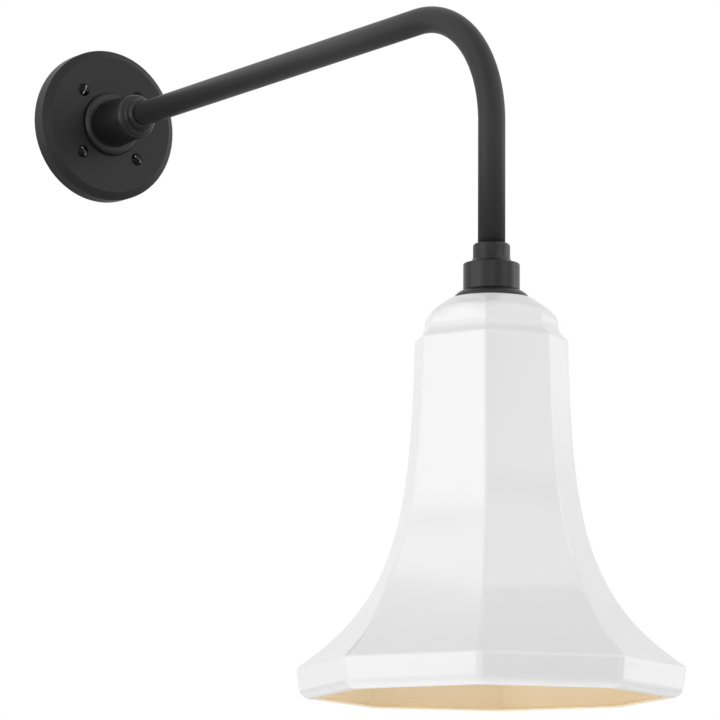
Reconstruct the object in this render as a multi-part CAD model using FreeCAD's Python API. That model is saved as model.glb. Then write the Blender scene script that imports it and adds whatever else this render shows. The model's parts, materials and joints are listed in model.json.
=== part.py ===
import FreeCAD, Part
import math
import os
from FreeCAD import Vector

# Barn light for an outside wall: a round cast wall plate, a bent tube arm that stands out
# and turns down, a socket cup at its end, and a deep eight-sided bell shade round the lamp.
# Millimetres. The origin is the centre of the wall plate's back face. The wall is the plane
# Y = 0, the arm stands out along -Y and +Z is up.

# Arm
arm_reach = 659.0
tube_radius = 11.9
tube_wall = 2.0
bend_radius = 111.5
tube_end_drop = 231.0
tube_fit = 0.03

# Wall plate, measured out from the wall
plate_radius = 76.0
plate_bevel_depth = 4.7
plate_depth = 20.1
plate_bevel_width = 7.4
plate_wall = 3.5
plate_rim_wall = 8.0
plate_edge_round = 0.8
plate_inner_round = 3.0
boss_wall = 2.7

# Seal in the back of the wall plate's rim
gasket_land = 2.0
gasket_width = 3.0
gasket_depth = 1.5
gasket_side_gap = 0.05

# Screws that hold the wall plate to its mounting ring, and the turn of each slot
plate_screw_circle = 88.9
plate_screw_radius = 3.0
plate_screw_hole_gap = 0.3
plate_screw_head_radius = 6.0
plate_screw_head_height = 3.4
plate_screw_slot_width = 1.3
plate_screw_slot_depth = 1.5
plate_screw_tip_inset = 0.4
plate_screw_angles = (45, 135, 225, 315)
plate_screw_slot_turns = (20, 65, 118, 141)

# Mounting ring, which two screws fix to a round wall box
ring_thickness = 3.0
ring_side_gap = 6.0
ring_bore_radius = 30.0
ring_thread_gap = 0.04
box_slot_spacing = 88.9
box_slot_half_width = 2.5
box_slot_length = 12.0

# Hub: a flange ring, and the coupling that holds the arm's wall end
flange_overhang = 9.5
flange_height = 7.0
flange_round = 4.5
flange_bore_gap = 0.05
spigot_radius = 20.0
spigot_overhang = 0.4
hub_wall = 3.0
barrel_step = 2.2
barrel_taper = 1.0
barrel_length = 43.4
barrel_round = 3.6
barrel_cove = 2.8
bead_wall = 3.77
bead_length = 10.7
bead_round = 3.2
arm_seat_length = 19.2
washer_thickness = 1.2
washer_width = 6.0
washer_tooth_depth = 1.6
washer_tooth_width = 2.0
washer_tooth_count = 12
locknut_thickness = 4.0
locknut_width = 5.0
locknut_lug_length = 2.5
locknut_lug_width = 8.0
locknut_lug_count = 6
nut_bore_gap = 0.03

# Bush in the wall end of the tube
bush_flange_inset = 0.4
bush_flange_thickness = 1.5
bush_length = 9.0
bush_wall = 3.35
bush_fit = 0.05

# Leads inside the arm, and their connectors behind the wall plate
lead_radius = 1.1
lead_offset = 1.7
lead_turn_radius = 8.0
connector_nut_gap = 3.5
connector_ring_gap = 0.3
connector_length = 22.0
connector_radius = 5.5
connector_tip_radius = 3.4
connector_bore_radius = 3.0
connector_bore_depth = 11.0
connector_round = 0.8

# Earth screws and the short lead between them
earth_screw_radius = 2.0
earth_screw_head_radius = 4.0
earth_screw_head_height = 2.4
earth_screw_slot_width = 1.0
earth_screw_slot_depth = 1.1
earth_screw_x = 13.5
earth_lead_span = 11.0
earth_boss_wall = 2.6
earth_boss_height = 3.6
earth_lead_turn_radius = 4.5

# Socket cup on the lower end of the tube, measured down from the arm's axis
collar_seat_length = 12.7
collar_wall = 4.02
collar_round = 3.0
collar_length = 13.1
cup_cove_width = 1.65
cup_cove_length = 4.2
cup_cove_round = 5.0
cup_wall = 3.0
cup_shoulder_length = 1.6
cup_shoulder_round = 1.2
cup_skirt_length = 22.3
cup_rim_round = 0.5
cup_cavity_gap = 1.3
cup_web = 8.0
cup_cavity_round = 2.5
set_screw_radius = 2.0
set_screw_place = 6.7
set_screw_inset = 0.4
set_screw_fit = 0.03
set_screw_slot_width = 0.8
set_screw_slot_depth = 1.0

# Domed ring under the cup, and the seal between it and the shade
holder_overhang = 8.2
holder_height = 7.8
holder_bulge = 0.8
holder_lip = 1.0
holder_bore_gap = 0.1
seal_thickness = 0.8
seal_edge_inset = 1.9
seal_bore_gap = 0.5

# Shade: radii run from the axis to its corners, drops from the arm's axis
shade_sides = 8
shade_clocking = 4.0
shade_wall = 2.0
shade_neck_gap = 0.5
shade_crown_radius = 39.0
shade_crown_round = 3.0
shade_dome_radius = 58.3
shade_dome_height = 13.2
shade_dome_round = 10.0
shade_cove_radius = 58.6
shade_cove_height = 13.2
shade_cove_round = 14.0
shade_shoulder_height = 7.8
shade_shoulder_round = 2.2
flare_throat_radius = 65.3
flare_growth = 87.1
flare_length = 64.0
flare_lead_in = 7.7
flare_height = 265.3
flare_spans = 9
rim_shoulder_height = 10.7
rim_corner_round = 4.0
rim_taper = 5.762
rim_height = 26.0
rim_foot_round = 4.5
rim_lip_width = 5.2

# Ring that clamps the shade from inside
clamp_ring_width = 7.6
clamp_ring_height = 7.0
clamp_ring_round = 1.0
clamp_ring_notch_width = 5.0
clamp_ring_notch_depth = 2.2
clamp_ring_notch_count = 8
clamp_ring_thread_gap = 0.05

# Lampholder
holder_hub_wall = 2.97
holder_hub_height = 7.0
holder_cap_inset = 0.3
holder_cap_thickness = 1.5
porcelain_radius = 19.9
porcelain_length = 45.5
porcelain_round = 1.2
chamber_wall = 4.9
chamber_depth = 8.5
socket_floor = 6.0
socket_bore_gap = 0.2
shell_gap = 0.3
shell_wall = 0.6
shell_lip_radius = 9.0
shell_lip_thickness = 0.8
shell_end_inset = 5.0
contact_disc_radius = 5.0
contact_disc_thickness = 0.8
contact_tongue_radius = 2.5
contact_tongue_height = 2.7
terminal_end_gap = 3.0
terminal_side_inset = 0.2
terminal_thickness = 1.2
terminal_screw_inset = 4.0
terminal_screw_radius = 1.5
terminal_screw_head_radius = 2.8
terminal_screw_head_height = 2.2
terminal_screw_end_gap = 2.0
terminal_screw_slot_width = 0.7
terminal_screw_slot_depth = 0.9
terminal_hole_gap = 0.05

# Hollow rod and nut that hang the lampholder in the cup
nipple_radius = 5.0
nipple_wall = 1.8
nipple_rise = 1.0
nipple_end_inset = 0.5
nipple_fit = 0.03
nipple_nut_thickness = 4.0
nipple_nut_wall = 1.5
nipple_nut_sides = 6

# Lamp
lamp_contact_radius = 3.5
lamp_contact_height = 1.7
insulator_inset = 1.1
insulator_height = 2.3
cap_radius = 13.1
cap_length = 24.5
cap_wall = 0.6
cap_round = 1.0
glass_neck_step = 0.5
glass_neck_length = 9.0
glass_neck_round = 16.0
glass_radius = 30.0
glass_swell_length = 30.0
glass_swell_round = 38.0
glass_side_length = 1.4
glass_end_flat = 0.1
glass_wall = 1.2

# One overrun serves every cut
overrun = 1.0

quarter_turn = 90
half_turn = 180
full_turn = 360

axis_x = Vector(1, 0, 0)
axis_z = Vector(0, 0, 1)

# Wall plate, mounting ring and seal, worked out from the sizes above
plate_face_radius = plate_radius - plate_bevel_width
plate_rim_depth = plate_depth - plate_bevel_depth
plate_inside = plate_depth - plate_wall
boss_radius = plate_screw_radius + plate_screw_hole_gap + boss_wall
gasket_outer_radius = plate_radius - gasket_land
gasket_inner_radius = gasket_outer_radius - gasket_width
ring_outer_radius = plate_radius - plate_rim_wall - ring_side_gap

# Hub and what passes through it
hub_cavity_radius = spigot_radius - hub_wall
barrel_radius = spigot_radius + barrel_step
barrel_front_radius = barrel_radius - barrel_taper
flange_radius = barrel_radius + flange_overhang
bead_radius = tube_radius + tube_fit + bead_wall
flange_top = plate_depth + flange_height
barrel_top = flange_top + barrel_length
bead_top = barrel_top + bead_length
tube_start = bead_top - arm_seat_length
washer_radius = spigot_radius + washer_width
locknut_radius = spigot_radius + locknut_width
locknut_top = plate_inside - washer_thickness
spigot_end_depth = locknut_top - locknut_thickness - spigot_overhang
bush_flange_radius = tube_radius - bush_flange_inset
bush_bore_radius = tube_radius - tube_wall - bush_fit - bush_wall
lead_run_depth = ring_thickness + connector_ring_gap + connector_radius
connector_start = locknut_radius + locknut_lug_length + connector_nut_gap
earth_screw_drop = (ring_bore_radius + ring_outer_radius) / 2
earth_boss_x = earth_screw_x + earth_lead_span
earth_boss_radius = earth_screw_radius + earth_boss_wall

# Cup and domed ring
cup_top_drop = tube_end_drop - collar_seat_length
collar_radius = tube_radius + tube_fit + collar_wall
collar_end_drop = cup_top_drop + collar_length
cup_cove_radius = collar_radius + cup_cove_width
cup_cove_drop = collar_end_drop + cup_cove_length
cup_shoulder_drop = cup_cove_drop + cup_shoulder_length
cup_rim_drop = cup_shoulder_drop + cup_skirt_length
cup_cavity_radius = porcelain_radius + cup_cavity_gap
cup_cavity_drop = tube_end_drop + cup_web
cup_radius = cup_cavity_radius + cup_wall
set_screw_drop = cup_top_drop + set_screw_place
holder_radius = cup_radius + holder_overhang
holder_drop = cup_rim_drop + holder_height
seal_radius = holder_radius - seal_edge_inset

# Shade and its clamp ring
shade_corner_share = math.cos(math.pi / shade_sides)
shade_top_drop = holder_drop + seal_thickness
shade_dome_drop = shade_top_drop + shade_dome_height
shade_cove_drop = shade_dome_drop + shade_cove_height
shade_shoulder_drop = shade_cove_drop + shade_shoulder_height
flare_start_drop = shade_shoulder_drop + flare_lead_in
flare_end_drop = flare_start_drop + flare_height
rim_corner_drop = flare_end_drop + rim_shoulder_height
rim_foot_drop = rim_corner_drop + rim_height
clamp_ring_drop = shade_top_drop + shade_wall
clamp_ring_radius = porcelain_radius + clamp_ring_width

# Lampholder, its hollow rod and the lamp
shell_radius = cap_radius + shell_gap + shell_wall
socket_bore_radius = shell_radius + socket_bore_gap
holder_hub_radius = nipple_radius + nipple_fit + holder_hub_wall
holder_cap_radius = porcelain_radius - holder_cap_inset
holder_cap_drop = cup_cavity_drop + holder_hub_height + holder_cap_thickness
porcelain_end_drop = holder_cap_drop + porcelain_length
chamber_radius = porcelain_radius - chamber_wall
chamber_floor_drop = holder_cap_drop + chamber_depth
socket_floor_drop = chamber_floor_drop + socket_floor
shell_end_drop = porcelain_end_drop - shell_end_inset
contact_drop = socket_floor_drop + contact_disc_thickness + contact_tongue_height
terminal_inner_x = lead_offset - lead_radius
terminal_outer_x = chamber_radius - terminal_end_gap
terminal_half_width = terminal_screw_head_radius + terminal_side_inset
terminal_screw_x = terminal_outer_x - terminal_screw_inset
terminal_screw_length = socket_floor - terminal_screw_end_gap
nipple_bore_radius = nipple_radius - nipple_wall
nipple_top_drop = tube_end_drop - nipple_nut_thickness - nipple_rise
nipple_end_drop = holder_cap_drop - nipple_end_inset
nipple_nut_across_flats = 2 * (nipple_radius + nipple_nut_wall)
insulator_radius = cap_radius - cap_round - insulator_inset
lamp_cap_drop = contact_drop + lamp_contact_height + insulator_height
glass_drop = lamp_cap_drop + cap_length


def rounded_corner(before, corner, after, radius):
    """Start, middle and end of the arc that rounds one corner of an outline."""
    to_before = (before - corner).normalize()
    to_after = (after - corner).normalize()
    half_angle = to_before.getAngle(to_after) / 2
    reach = radius / math.tan(half_angle)
    centre = corner + (to_before + to_after).normalize() * (radius / math.sin(half_angle))
    middle = centre + (corner - centre).normalize() * radius
    return corner + to_before * reach, middle, corner + to_after * reach


def outline_edges(points, closed=True):
    """Edges through (radius, height, rounding) points, with an arc at each rounded corner."""
    corners = [Vector(radius, 0, height) for radius, height, rounding in points]
    count = len(points)
    stations = []
    for index, corner in enumerate(corners):
        rounding = points[index][2]
        at_end = not closed and index in (0, count - 1)
        if rounding == 0 or at_end:
            stations.append((corner, None, corner))
        else:
            after = corners[(index + 1) % count]
            stations.append(rounded_corner(corners[index - 1], corner, after, rounding))
    edges = []
    for index, (start, middle, end) in enumerate(stations):
        if middle is not None:
            edges.append(Part.Arc(start, middle, end).toShape())
        if index < count - 1 or closed:
            following = stations[(index + 1) % count][0]
            if not end.isEqual(following, Part.Precision.confusion()):
                edges.append(Part.LineSegment(end, following).toShape())
    return edges


def turned(points):
    """Solid turned about the Z axis from a closed outline."""
    face = Part.Face(Part.Wire(outline_edges(points)))
    return face.revolve(Vector(), axis_z, full_turn)


def ring(inner_radius, outer_radius, low, high):
    """Plain ring about the Z axis between two heights."""
    return turned([(inner_radius, low, 0), (outer_radius, low, 0),
                   (outer_radius, high, 0), (inner_radius, high, 0)])


def rod(radius, low, high, x=0, y=0):
    """Plain round rod along Z between two heights."""
    return Part.makeCylinder(radius, high - low, Vector(x, y, low))


def block(size_x, size_y, low, high, x=0, y=0):
    """Block centred on (x, y) between two heights."""
    corner = Vector(x - size_x / 2, y - size_y / 2, low)
    return Part.makeBox(size_x, size_y, high - low, corner)


def around(shape, count, first_angle=0):
    """Copies of a shape, evenly spaced about the Z axis."""
    step = full_turn / count
    return [shape.rotated(Vector(), axis_z, first_angle + index * step) for index in range(count)]


def slotted_screw(shank_radius, shank_length, head_radius, head_height, slot_width, slot_depth, slot_turn=0):
    """Screw along Z with its head's seat at height 0, a domed crown and a slot across it."""
    dome_radius = (head_radius ** 2 + head_height ** 2) / (2 * head_height)
    sphere = Part.makeSphere(dome_radius, Vector(0, 0, head_height - dome_radius))
    head = sphere.common(rod(head_radius, 0, head_height))
    slot = block(2 * head_radius + 2 * overrun, slot_width, head_height - slot_depth, head_height + overrun)
    head = head.cut(slot.rotated(Vector(), axis_z, slot_turn))
    shank = rod(shank_radius, -shank_length, (head_height - slot_depth) / 2)
    return head.fuse(shank).removeSplitter()


def out_from_wall(shape):
    """Stand a shape built along +Z out from the wall along -Y."""
    return shape.rotated(Vector(), axis_x, quarter_turn)


def down_from_arm(shape):
    """Hang a shape built along +Z down the lamp's axis, with height 0 on the arm's axis."""
    return shape.rotated(Vector(), axis_x, half_turn).translated(Vector(0, -arm_reach, 0))


def swept(path_edges, radius):
    """Round bar along a path of lines and tangent arcs."""
    path = Part.Wire(path_edges)
    first = path_edges[0]
    start = first.valueAt(first.FirstParameter)
    direction = first.tangentAt(first.FirstParameter)
    profile = Part.Wire(Part.Circle(start, direction, radius).toShape())
    return path.makePipeShell([profile], True, False)


def arc_between(centre, radius, start_angle, end_angle, x):
    """Arc in the plane of the arm, at offset x, with angles from +Y towards +Z."""
    points = []
    for angle in (start_angle, (start_angle + end_angle) / 2, end_angle):
        turn = math.radians(angle)
        points.append(Vector(x, centre[0] + radius * math.cos(turn), centre[1] + radius * math.sin(turn)))
    return Part.Arc(*points).toShape()


def arm_run(start_y, end_drop, x=0):
    """Edges down the arm: along -Y from start_y, round the bend and down to a drop."""
    bend_y = bend_radius - arm_reach
    bend = arc_between((bend_y, -bend_radius), bend_radius, quarter_turn, half_turn, x)
    along = Part.LineSegment(Vector(x, start_y, 0), Vector(x, bend_y, 0)).toShape()
    down = Part.LineSegment(Vector(x, -arm_reach, -bend_radius), Vector(x, -arm_reach, -end_drop)).toShape()
    return [along, bend, down]


def plate_screw_places():
    """X and y of each screw on the wall plate, in the plate's own frame."""
    half_circle = plate_screw_circle / 2
    places = []
    for angle in plate_screw_angles:
        turn = math.radians(angle)
        places.append((half_circle * math.cos(turn), half_circle * math.sin(turn)))
    return places


def wall_plate():
    """Hollow cast plate with a bevelled front, four bosses, an earth boss and a seal groove."""
    inner_radius = plate_radius - plate_rim_wall
    bore_radius = spigot_radius + flange_bore_gap
    plate = turned([
        (inner_radius, 0, 0), (plate_radius, 0, plate_edge_round),
        (plate_radius, plate_rim_depth, plate_edge_round), (plate_face_radius, plate_depth, plate_edge_round),
        (bore_radius, plate_depth, 0), (bore_radius, plate_inside, 0),
        (inner_radius, plate_inside, plate_inner_round)])
    plate = plate.cut(ring(gasket_inner_radius, gasket_outer_radius, -overrun, gasket_depth))
    hole_radius = plate_screw_radius + plate_screw_hole_gap
    for x, y in plate_screw_places():
        plate = plate.fuse(rod(boss_radius, ring_thickness, plate_depth - plate_wall / 2, x, y))
        plate = plate.cut(rod(hole_radius, 0, plate_depth + overrun, x, y))
    boss = rod(earth_boss_radius, plate_inside - earth_boss_height, plate_depth - plate_wall / 2,
               earth_boss_x, -earth_screw_drop)
    plate = plate.fuse(boss)
    hole = rod(earth_screw_radius + ring_thread_gap, plate_inside - earth_boss_height - overrun,
               plate_inside, earth_boss_x, -earth_screw_drop)
    return out_from_wall(plate.cut(hole).removeSplitter())


def wall_gasket():
    """Foam seal that fills the groove in the rim, flush with the wall."""
    return out_from_wall(ring(gasket_inner_radius + gasket_side_gap,
                              gasket_outer_radius - gasket_side_gap, 0, gasket_depth))


def mounting_ring():
    """Flat steel ring with four tapped holes, two slots for box screws and an earth hole."""
    disc = ring(ring_bore_radius, ring_outer_radius, 0, ring_thickness)
    for x, y in plate_screw_places():
        disc = disc.cut(rod(plate_screw_radius + ring_thread_gap, -overrun, ring_thickness + overrun, x, y))
    straight = box_slot_length - 2 * box_slot_half_width
    for side in (-1, 1):
        centre_x = side * box_slot_spacing / 2
        slot = block(straight, 2 * box_slot_half_width, -overrun, ring_thickness + overrun, centre_x)
        for end in (-1, 1):
            end_x = centre_x + end * straight / 2
            slot = slot.fuse(rod(box_slot_half_width, -overrun, ring_thickness + overrun, end_x))
        disc = disc.cut(slot.removeSplitter())
    earth_hole = rod(earth_screw_radius + ring_thread_gap, -overrun, ring_thickness + overrun,
                     earth_screw_x, -earth_screw_drop)
    return out_from_wall(disc.cut(earth_hole))


def plate_screws():
    """Four slotted round-head screws, each slot stopped at its own angle."""
    shank_length = plate_depth - plate_screw_tip_inset
    screws = []
    for (x, y), slot_turn in zip(plate_screw_places(), plate_screw_slot_turns):
        screw = slotted_screw(plate_screw_radius, shank_length, plate_screw_head_radius,
                              plate_screw_head_height, plate_screw_slot_width,
                              plate_screw_slot_depth, slot_turn)
        screws.append(out_from_wall(screw.translated(Vector(x, y, plate_depth))))
    return Part.makeCompound(screws)


def hub_flange():
    """Round-edged ring between the wall plate and the hub's barrel."""
    bore_radius = spigot_radius + flange_bore_gap
    return out_from_wall(turned([
        (bore_radius, plate_depth, 0), (flange_radius, plate_depth, 0),
        (flange_radius, flange_top, flange_round), (bore_radius, flange_top, 0)]))


def hub_coupling():
    """Barrel that clamps the flange, with a beaded socket for the tube and a threaded spigot."""
    bore_radius = tube_radius + tube_fit
    return out_from_wall(turned([
        (hub_cavity_radius, spigot_end_depth, 0), (spigot_radius, spigot_end_depth, 0),
        (spigot_radius, flange_top, 0), (barrel_radius, flange_top, 0),
        (barrel_front_radius, barrel_top, barrel_round), (bead_radius, barrel_top, barrel_cove),
        (bead_radius, bead_top, bead_round), (bore_radius, bead_top, 0),
        (bore_radius, tube_start, 0), (hub_cavity_radius, tube_start, 0)]))


def hub_washer():
    """Toothed lock washer between the plate's inside and the locknut."""
    washer = ring(spigot_radius + flange_bore_gap, washer_radius, locknut_top, plate_inside)
    gap = block(2 * washer_tooth_depth, washer_tooth_width, locknut_top - overrun, plate_inside + overrun,
                washer_radius)
    for cutter in around(gap, washer_tooth_count):
        washer = washer.cut(cutter)
    return out_from_wall(washer)


def hub_locknut():
    """Conduit locknut with lugs, screwed on the spigot behind the wall plate."""
    low = locknut_top - locknut_thickness
    nut = ring(spigot_radius + nut_bore_gap, locknut_radius, low, locknut_top)
    lug_span = 2 * locknut_lug_length
    lug = block(lug_span, locknut_lug_width, low, locknut_top, locknut_radius)
    for tooth in around(lug, locknut_lug_count):
        nut = nut.fuse(tooth)
    return out_from_wall(nut.removeSplitter())


def arm_tube():
    """Steel tube from the hub to the cup, in one bend."""
    path = arm_run(-tube_start, tube_end_drop)
    return swept(path, tube_radius).cut(swept(path, tube_radius - tube_wall))


def wire_bush():
    """Flanged plastic bush that guards the leads at the wall end of the tube."""
    sleeve_radius = tube_radius - tube_wall - bush_fit
    low = tube_start - bush_flange_thickness
    return out_from_wall(turned([
        (bush_bore_radius, low, 0), (bush_flange_radius, low, 0), (bush_flange_radius, tube_start, 0),
        (sleeve_radius, tube_start, 0), (sleeve_radius, tube_start + bush_length, 0),
        (bush_bore_radius, tube_start + bush_length, 0)]))


def arm_lead(side):
    """Insulated lead from a connector behind the plate, through the arm, to its terminal."""
    x = side * lead_offset
    turn_y = -lead_run_depth - lead_turn_radius
    turn_end_z = side * lead_turn_radius
    connector_z = side * (connector_start + connector_bore_depth)
    run = Part.LineSegment(Vector(x, -lead_run_depth, connector_z),
                           Vector(x, -lead_run_depth, turn_end_z)).toShape()
    turn = arc_between((turn_y, turn_end_z), lead_turn_radius, 0, -side * quarter_turn, x)
    end_drop = chamber_floor_drop - terminal_thickness
    return swept([run, turn] + arm_run(turn_y, end_drop, x), lead_radius)


def wire_connectors():
    """Two twist-on connectors, one at each lead's end, in the hollow of the wall plate."""
    end = connector_start + connector_length
    cone = turned([
        (connector_bore_radius, connector_start, 0), (connector_radius, connector_start, connector_round),
        (connector_tip_radius, end, connector_round), (0, end, 0),
        (0, connector_start + connector_bore_depth, 0),
        (connector_bore_radius, connector_start + connector_bore_depth, 0)])
    connectors = []
    for side, turn in ((1, 0), (-1, half_turn)):
        place = Vector(side * lead_offset, -lead_run_depth, 0)
        connectors.append(cone.rotated(Vector(), axis_x, turn).translated(place))
    return Part.makeCompound(connectors)


def earth_screws():
    """Earth screw on the mounting ring, and its fellow under the plate's earth boss."""
    head = (earth_screw_head_radius, earth_screw_head_height, earth_screw_slot_width,
            earth_screw_slot_depth, quarter_turn)
    ring_screw = slotted_screw(earth_screw_radius, ring_thickness, *head)
    ring_screw = ring_screw.translated(Vector(earth_screw_x, -earth_screw_drop, ring_thickness))
    boss_screw = slotted_screw(earth_screw_radius, earth_boss_height, *head)
    boss_screw = boss_screw.rotated(Vector(), axis_x, half_turn)
    boss_screw = boss_screw.translated(Vector(earth_boss_x, -earth_screw_drop,
                                              plate_inside - earth_boss_height))
    return Part.makeCompound([out_from_wall(ring_screw), out_from_wall(boss_screw)])


def earth_lead():
    """Short bare lead from the ring's earth screw to the plate's."""
    low = ring_thickness + lead_radius
    high = plate_inside - earth_boss_height - earth_screw_head_height
    start_x = earth_screw_x + earth_screw_head_radius
    turn_x = earth_boss_x - earth_lead_turn_radius
    turn_low = low + earth_lead_turn_radius
    y = -earth_screw_drop
    middle = earth_lead_turn_radius * math.sqrt(2) / 2
    run = Part.LineSegment(Vector(start_x, y, low), Vector(turn_x, y, low)).toShape()
    turn = Part.Arc(Vector(turn_x, y, low), Vector(turn_x + middle, y, turn_low - middle),
                    Vector(earth_boss_x, y, turn_low)).toShape()
    rise = Part.LineSegment(Vector(earth_boss_x, y, turn_low), Vector(earth_boss_x, y, high)).toShape()
    return out_from_wall(swept([run, turn, rise], lead_radius))


def socket_cup():
    """Turned cup: a collar on the tube, a coved shoulder and a skirt round the lampholder."""
    cup = turned([
        (tube_radius + tube_fit, cup_top_drop, 0), (collar_radius, cup_top_drop, collar_round),
        (collar_radius, collar_end_drop, 0), (cup_cove_radius, cup_cove_drop, cup_cove_round),
        (cup_radius, cup_shoulder_drop, cup_shoulder_round), (cup_radius, cup_rim_drop, cup_rim_round),
        (cup_cavity_radius, cup_rim_drop, 0), (cup_cavity_radius, cup_cavity_drop, cup_cavity_round),
        (nipple_radius + nipple_fit, cup_cavity_drop, 0), (nipple_radius + nipple_fit, tube_end_drop, 0),
        (tube_radius + tube_fit, tube_end_drop, 0)])
    hole = Part.makeCylinder(set_screw_radius + set_screw_fit, collar_radius + overrun,
                             Vector(0, 0, set_screw_drop), Vector(0, -1, 0))
    return down_from_arm(cup.cut(hole))


def set_screw():
    """Slotted grub screw in the side of the collar that faces the wall."""
    length = collar_radius - set_screw_inset - tube_radius - tube_fit
    screw = rod(set_screw_radius, 0, length)
    slot = block(2 * set_screw_radius + 2 * overrun, set_screw_slot_width,
                 length - set_screw_slot_depth, length + overrun)
    screw = screw.cut(slot).rotated(Vector(), axis_x, quarter_turn)
    return down_from_arm(screw.translated(Vector(0, -tube_radius - tube_fit, set_screw_drop)))


def shade_holder():
    """Shallow domed ring that caps the shade's neck below the cup."""
    bore_radius = porcelain_radius + holder_bore_gap
    top = Vector(cup_radius, 0, cup_rim_drop)
    lip = Vector(holder_radius, 0, holder_drop - holder_lip)
    across = lip - top
    bulge = Vector(across.z, 0, -across.x).normalize() * holder_bulge
    dome = Part.Arc(top, (top + lip) / 2 + bulge, lip).toShape()
    corners = [lip, Vector(holder_radius, 0, holder_drop), Vector(bore_radius, 0, holder_drop),
               Vector(bore_radius, 0, cup_rim_drop), top]
    edges = [dome] + [Part.LineSegment(a, b).toShape() for a, b in zip(corners, corners[1:])]
    face = Part.Face(Part.Wire(edges))
    return down_from_arm(face.revolve(Vector(), axis_z, full_turn))


def shade_seal():
    """Flat seal between the domed ring and the shade."""
    return down_from_arm(ring(porcelain_radius + seal_bore_gap, seal_radius, holder_drop, shade_top_drop))


def flare_radius(drop):
    """Corner radius of the horn, which grows exponentially towards the mouth."""
    return flare_throat_radius + flare_growth * math.exp((drop - flare_end_drop) / flare_length)


def flare_slope(drop):
    """Growth of the horn's corner radius for each unit of drop."""
    return flare_growth / flare_length * math.exp((drop - flare_end_drop) / flare_length)


def horn_edge(depth):
    """Section of the horn through the middle of a side, at a depth inside its outer face."""
    step = (flare_end_drop - flare_start_drop) / flare_spans
    points = []
    ways = []
    for index in range(flare_spans + 1):
        drop = flare_start_drop + index * step
        way = Vector(flare_slope(drop) * shade_corner_share, 0, 1).normalize()
        inward = Vector(-way.z, 0, way.x)
        points.append(Vector(flare_radius(drop) * shade_corner_share, 0, drop) + inward * depth)
        ways.append(way)
    curve = Part.BSplineCurve()
    curve.interpolate(Points=points, InitialTangent=ways[0], FinalTangent=ways[-1])
    return curve.toShape()


def inset(points, depth):
    """Run of (radius, drop, rounding) points moved sideways into the shade, with its arcs kept parallel."""
    sides = []
    for (radius, drop, _), (next_radius, next_drop, _) in zip(points, points[1:]):
        way = Vector(next_radius - radius, 0, next_drop - drop).normalize()
        sides.append(Vector(-way.z, 0, way.x))
    moved = []
    for index, (radius, drop, rounding) in enumerate(points):
        before = sides[max(index - 1, 0)]
        after = sides[min(index, len(sides) - 1)]
        shift = (before + after) * (depth / (1 + before.dot(after)))
        if rounding > 0:
            rounding += math.copysign(depth, before.cross(after).y)
        moved.append((radius + shift.x, drop + shift.z, rounding))
    return moved


def shade_runs():
    """Crown and rim of the shade's outer face, as runs of points through the middle of a side."""
    start_radius = flare_radius(flare_start_drop)
    end_radius = flare_radius(flare_end_drop)
    shoulder_radius = start_radius - flare_slope(flare_start_drop) * (flare_start_drop - shade_shoulder_drop)
    corner_radius = end_radius + flare_slope(flare_end_drop) * (rim_corner_drop - flare_end_drop)
    foot_radius = corner_radius - rim_taper
    crown = [(porcelain_radius / 2, shade_top_drop, 0),
             (shade_crown_radius, shade_top_drop, shade_crown_round),
             (shade_dome_radius, shade_dome_drop, shade_dome_round),
             (shade_cove_radius, shade_cove_drop, shade_cove_round),
             (shoulder_radius, shade_shoulder_drop, shade_shoulder_round),
             (start_radius, flare_start_drop, 0)]
    rim = [(end_radius, flare_end_drop, 0), (corner_radius, rim_corner_drop, rim_corner_round),
           (foot_radius, rim_foot_drop, rim_foot_round), (foot_radius - rim_lip_width, rim_foot_drop, 0)]
    return [[(radius * shade_corner_share, drop, rounding) for radius, drop, rounding in run]
            for run in (crown, rim)]


def shade_section():
    """Section of the shade's wall through the middle of a side."""
    outer_crown, outer_rim = shade_runs()
    inner_crown, inner_rim = [inset(run, shade_wall) for run in (outer_crown, outer_rim)]
    outer = outline_edges(outer_crown, closed=False) + [horn_edge(0)] + outline_edges(outer_rim, closed=False)
    inner = (outline_edges(inner_crown, closed=False) + [horn_edge(shade_wall)]
             + outline_edges(inner_rim, closed=False))
    lip = outline_edges([outer_rim[-1], inner_rim[-1]], closed=False)
    neck = outline_edges([inner_crown[0], outer_crown[0]], closed=False)
    return Part.Face(Part.Wire(outer + lip + inner[::-1] + neck))


def shade():
    """Eight flat-sided gores, mitred at the corners, with a round neck hole."""
    section = shade_section()
    far = section.BoundBox.XMax / shade_corner_share + overrun
    half_width = far * math.tan(math.pi / shade_sides)
    side = section.translated(Vector(0, -half_width, 0)).extrude(Vector(0, 2 * half_width, 0))
    wedge_points = [Vector(0, 0, 0), Vector(far, -half_width, 0), Vector(far, half_width, 0), Vector(0, 0, 0)]
    wedge = Part.Face(Part.makePolygon(wedge_points)).extrude(Vector(0, 0, rim_foot_drop + overrun))
    gore = side.common(wedge)
    half_side = full_turn / shade_sides / 2
    gores = around(gore, shade_sides, half_side - shade_clocking)
    bell = gores[0].multiFuse(gores[1:]).removeSplitter()
    neck = rod(porcelain_radius + shade_neck_gap, shade_top_drop - overrun, clamp_ring_drop + overrun)
    return down_from_arm(bell.cut(neck))


def clamp_ring():
    """Notched ring screwed on the lampholder, which holds the shade up against the seal."""
    low = clamp_ring_drop
    high = low + clamp_ring_height
    body = turned([
        (porcelain_radius + clamp_ring_thread_gap, low, 0), (clamp_ring_radius, low, 0),
        (clamp_ring_radius, high, clamp_ring_round), (porcelain_radius + clamp_ring_thread_gap, high, 0)])
    notch = block(2 * clamp_ring_notch_depth, clamp_ring_notch_width, low - overrun, high + overrun,
                  clamp_ring_radius)
    for cutter in around(notch, clamp_ring_notch_count):
        body = body.cut(cutter)
    return down_from_arm(body)


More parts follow.
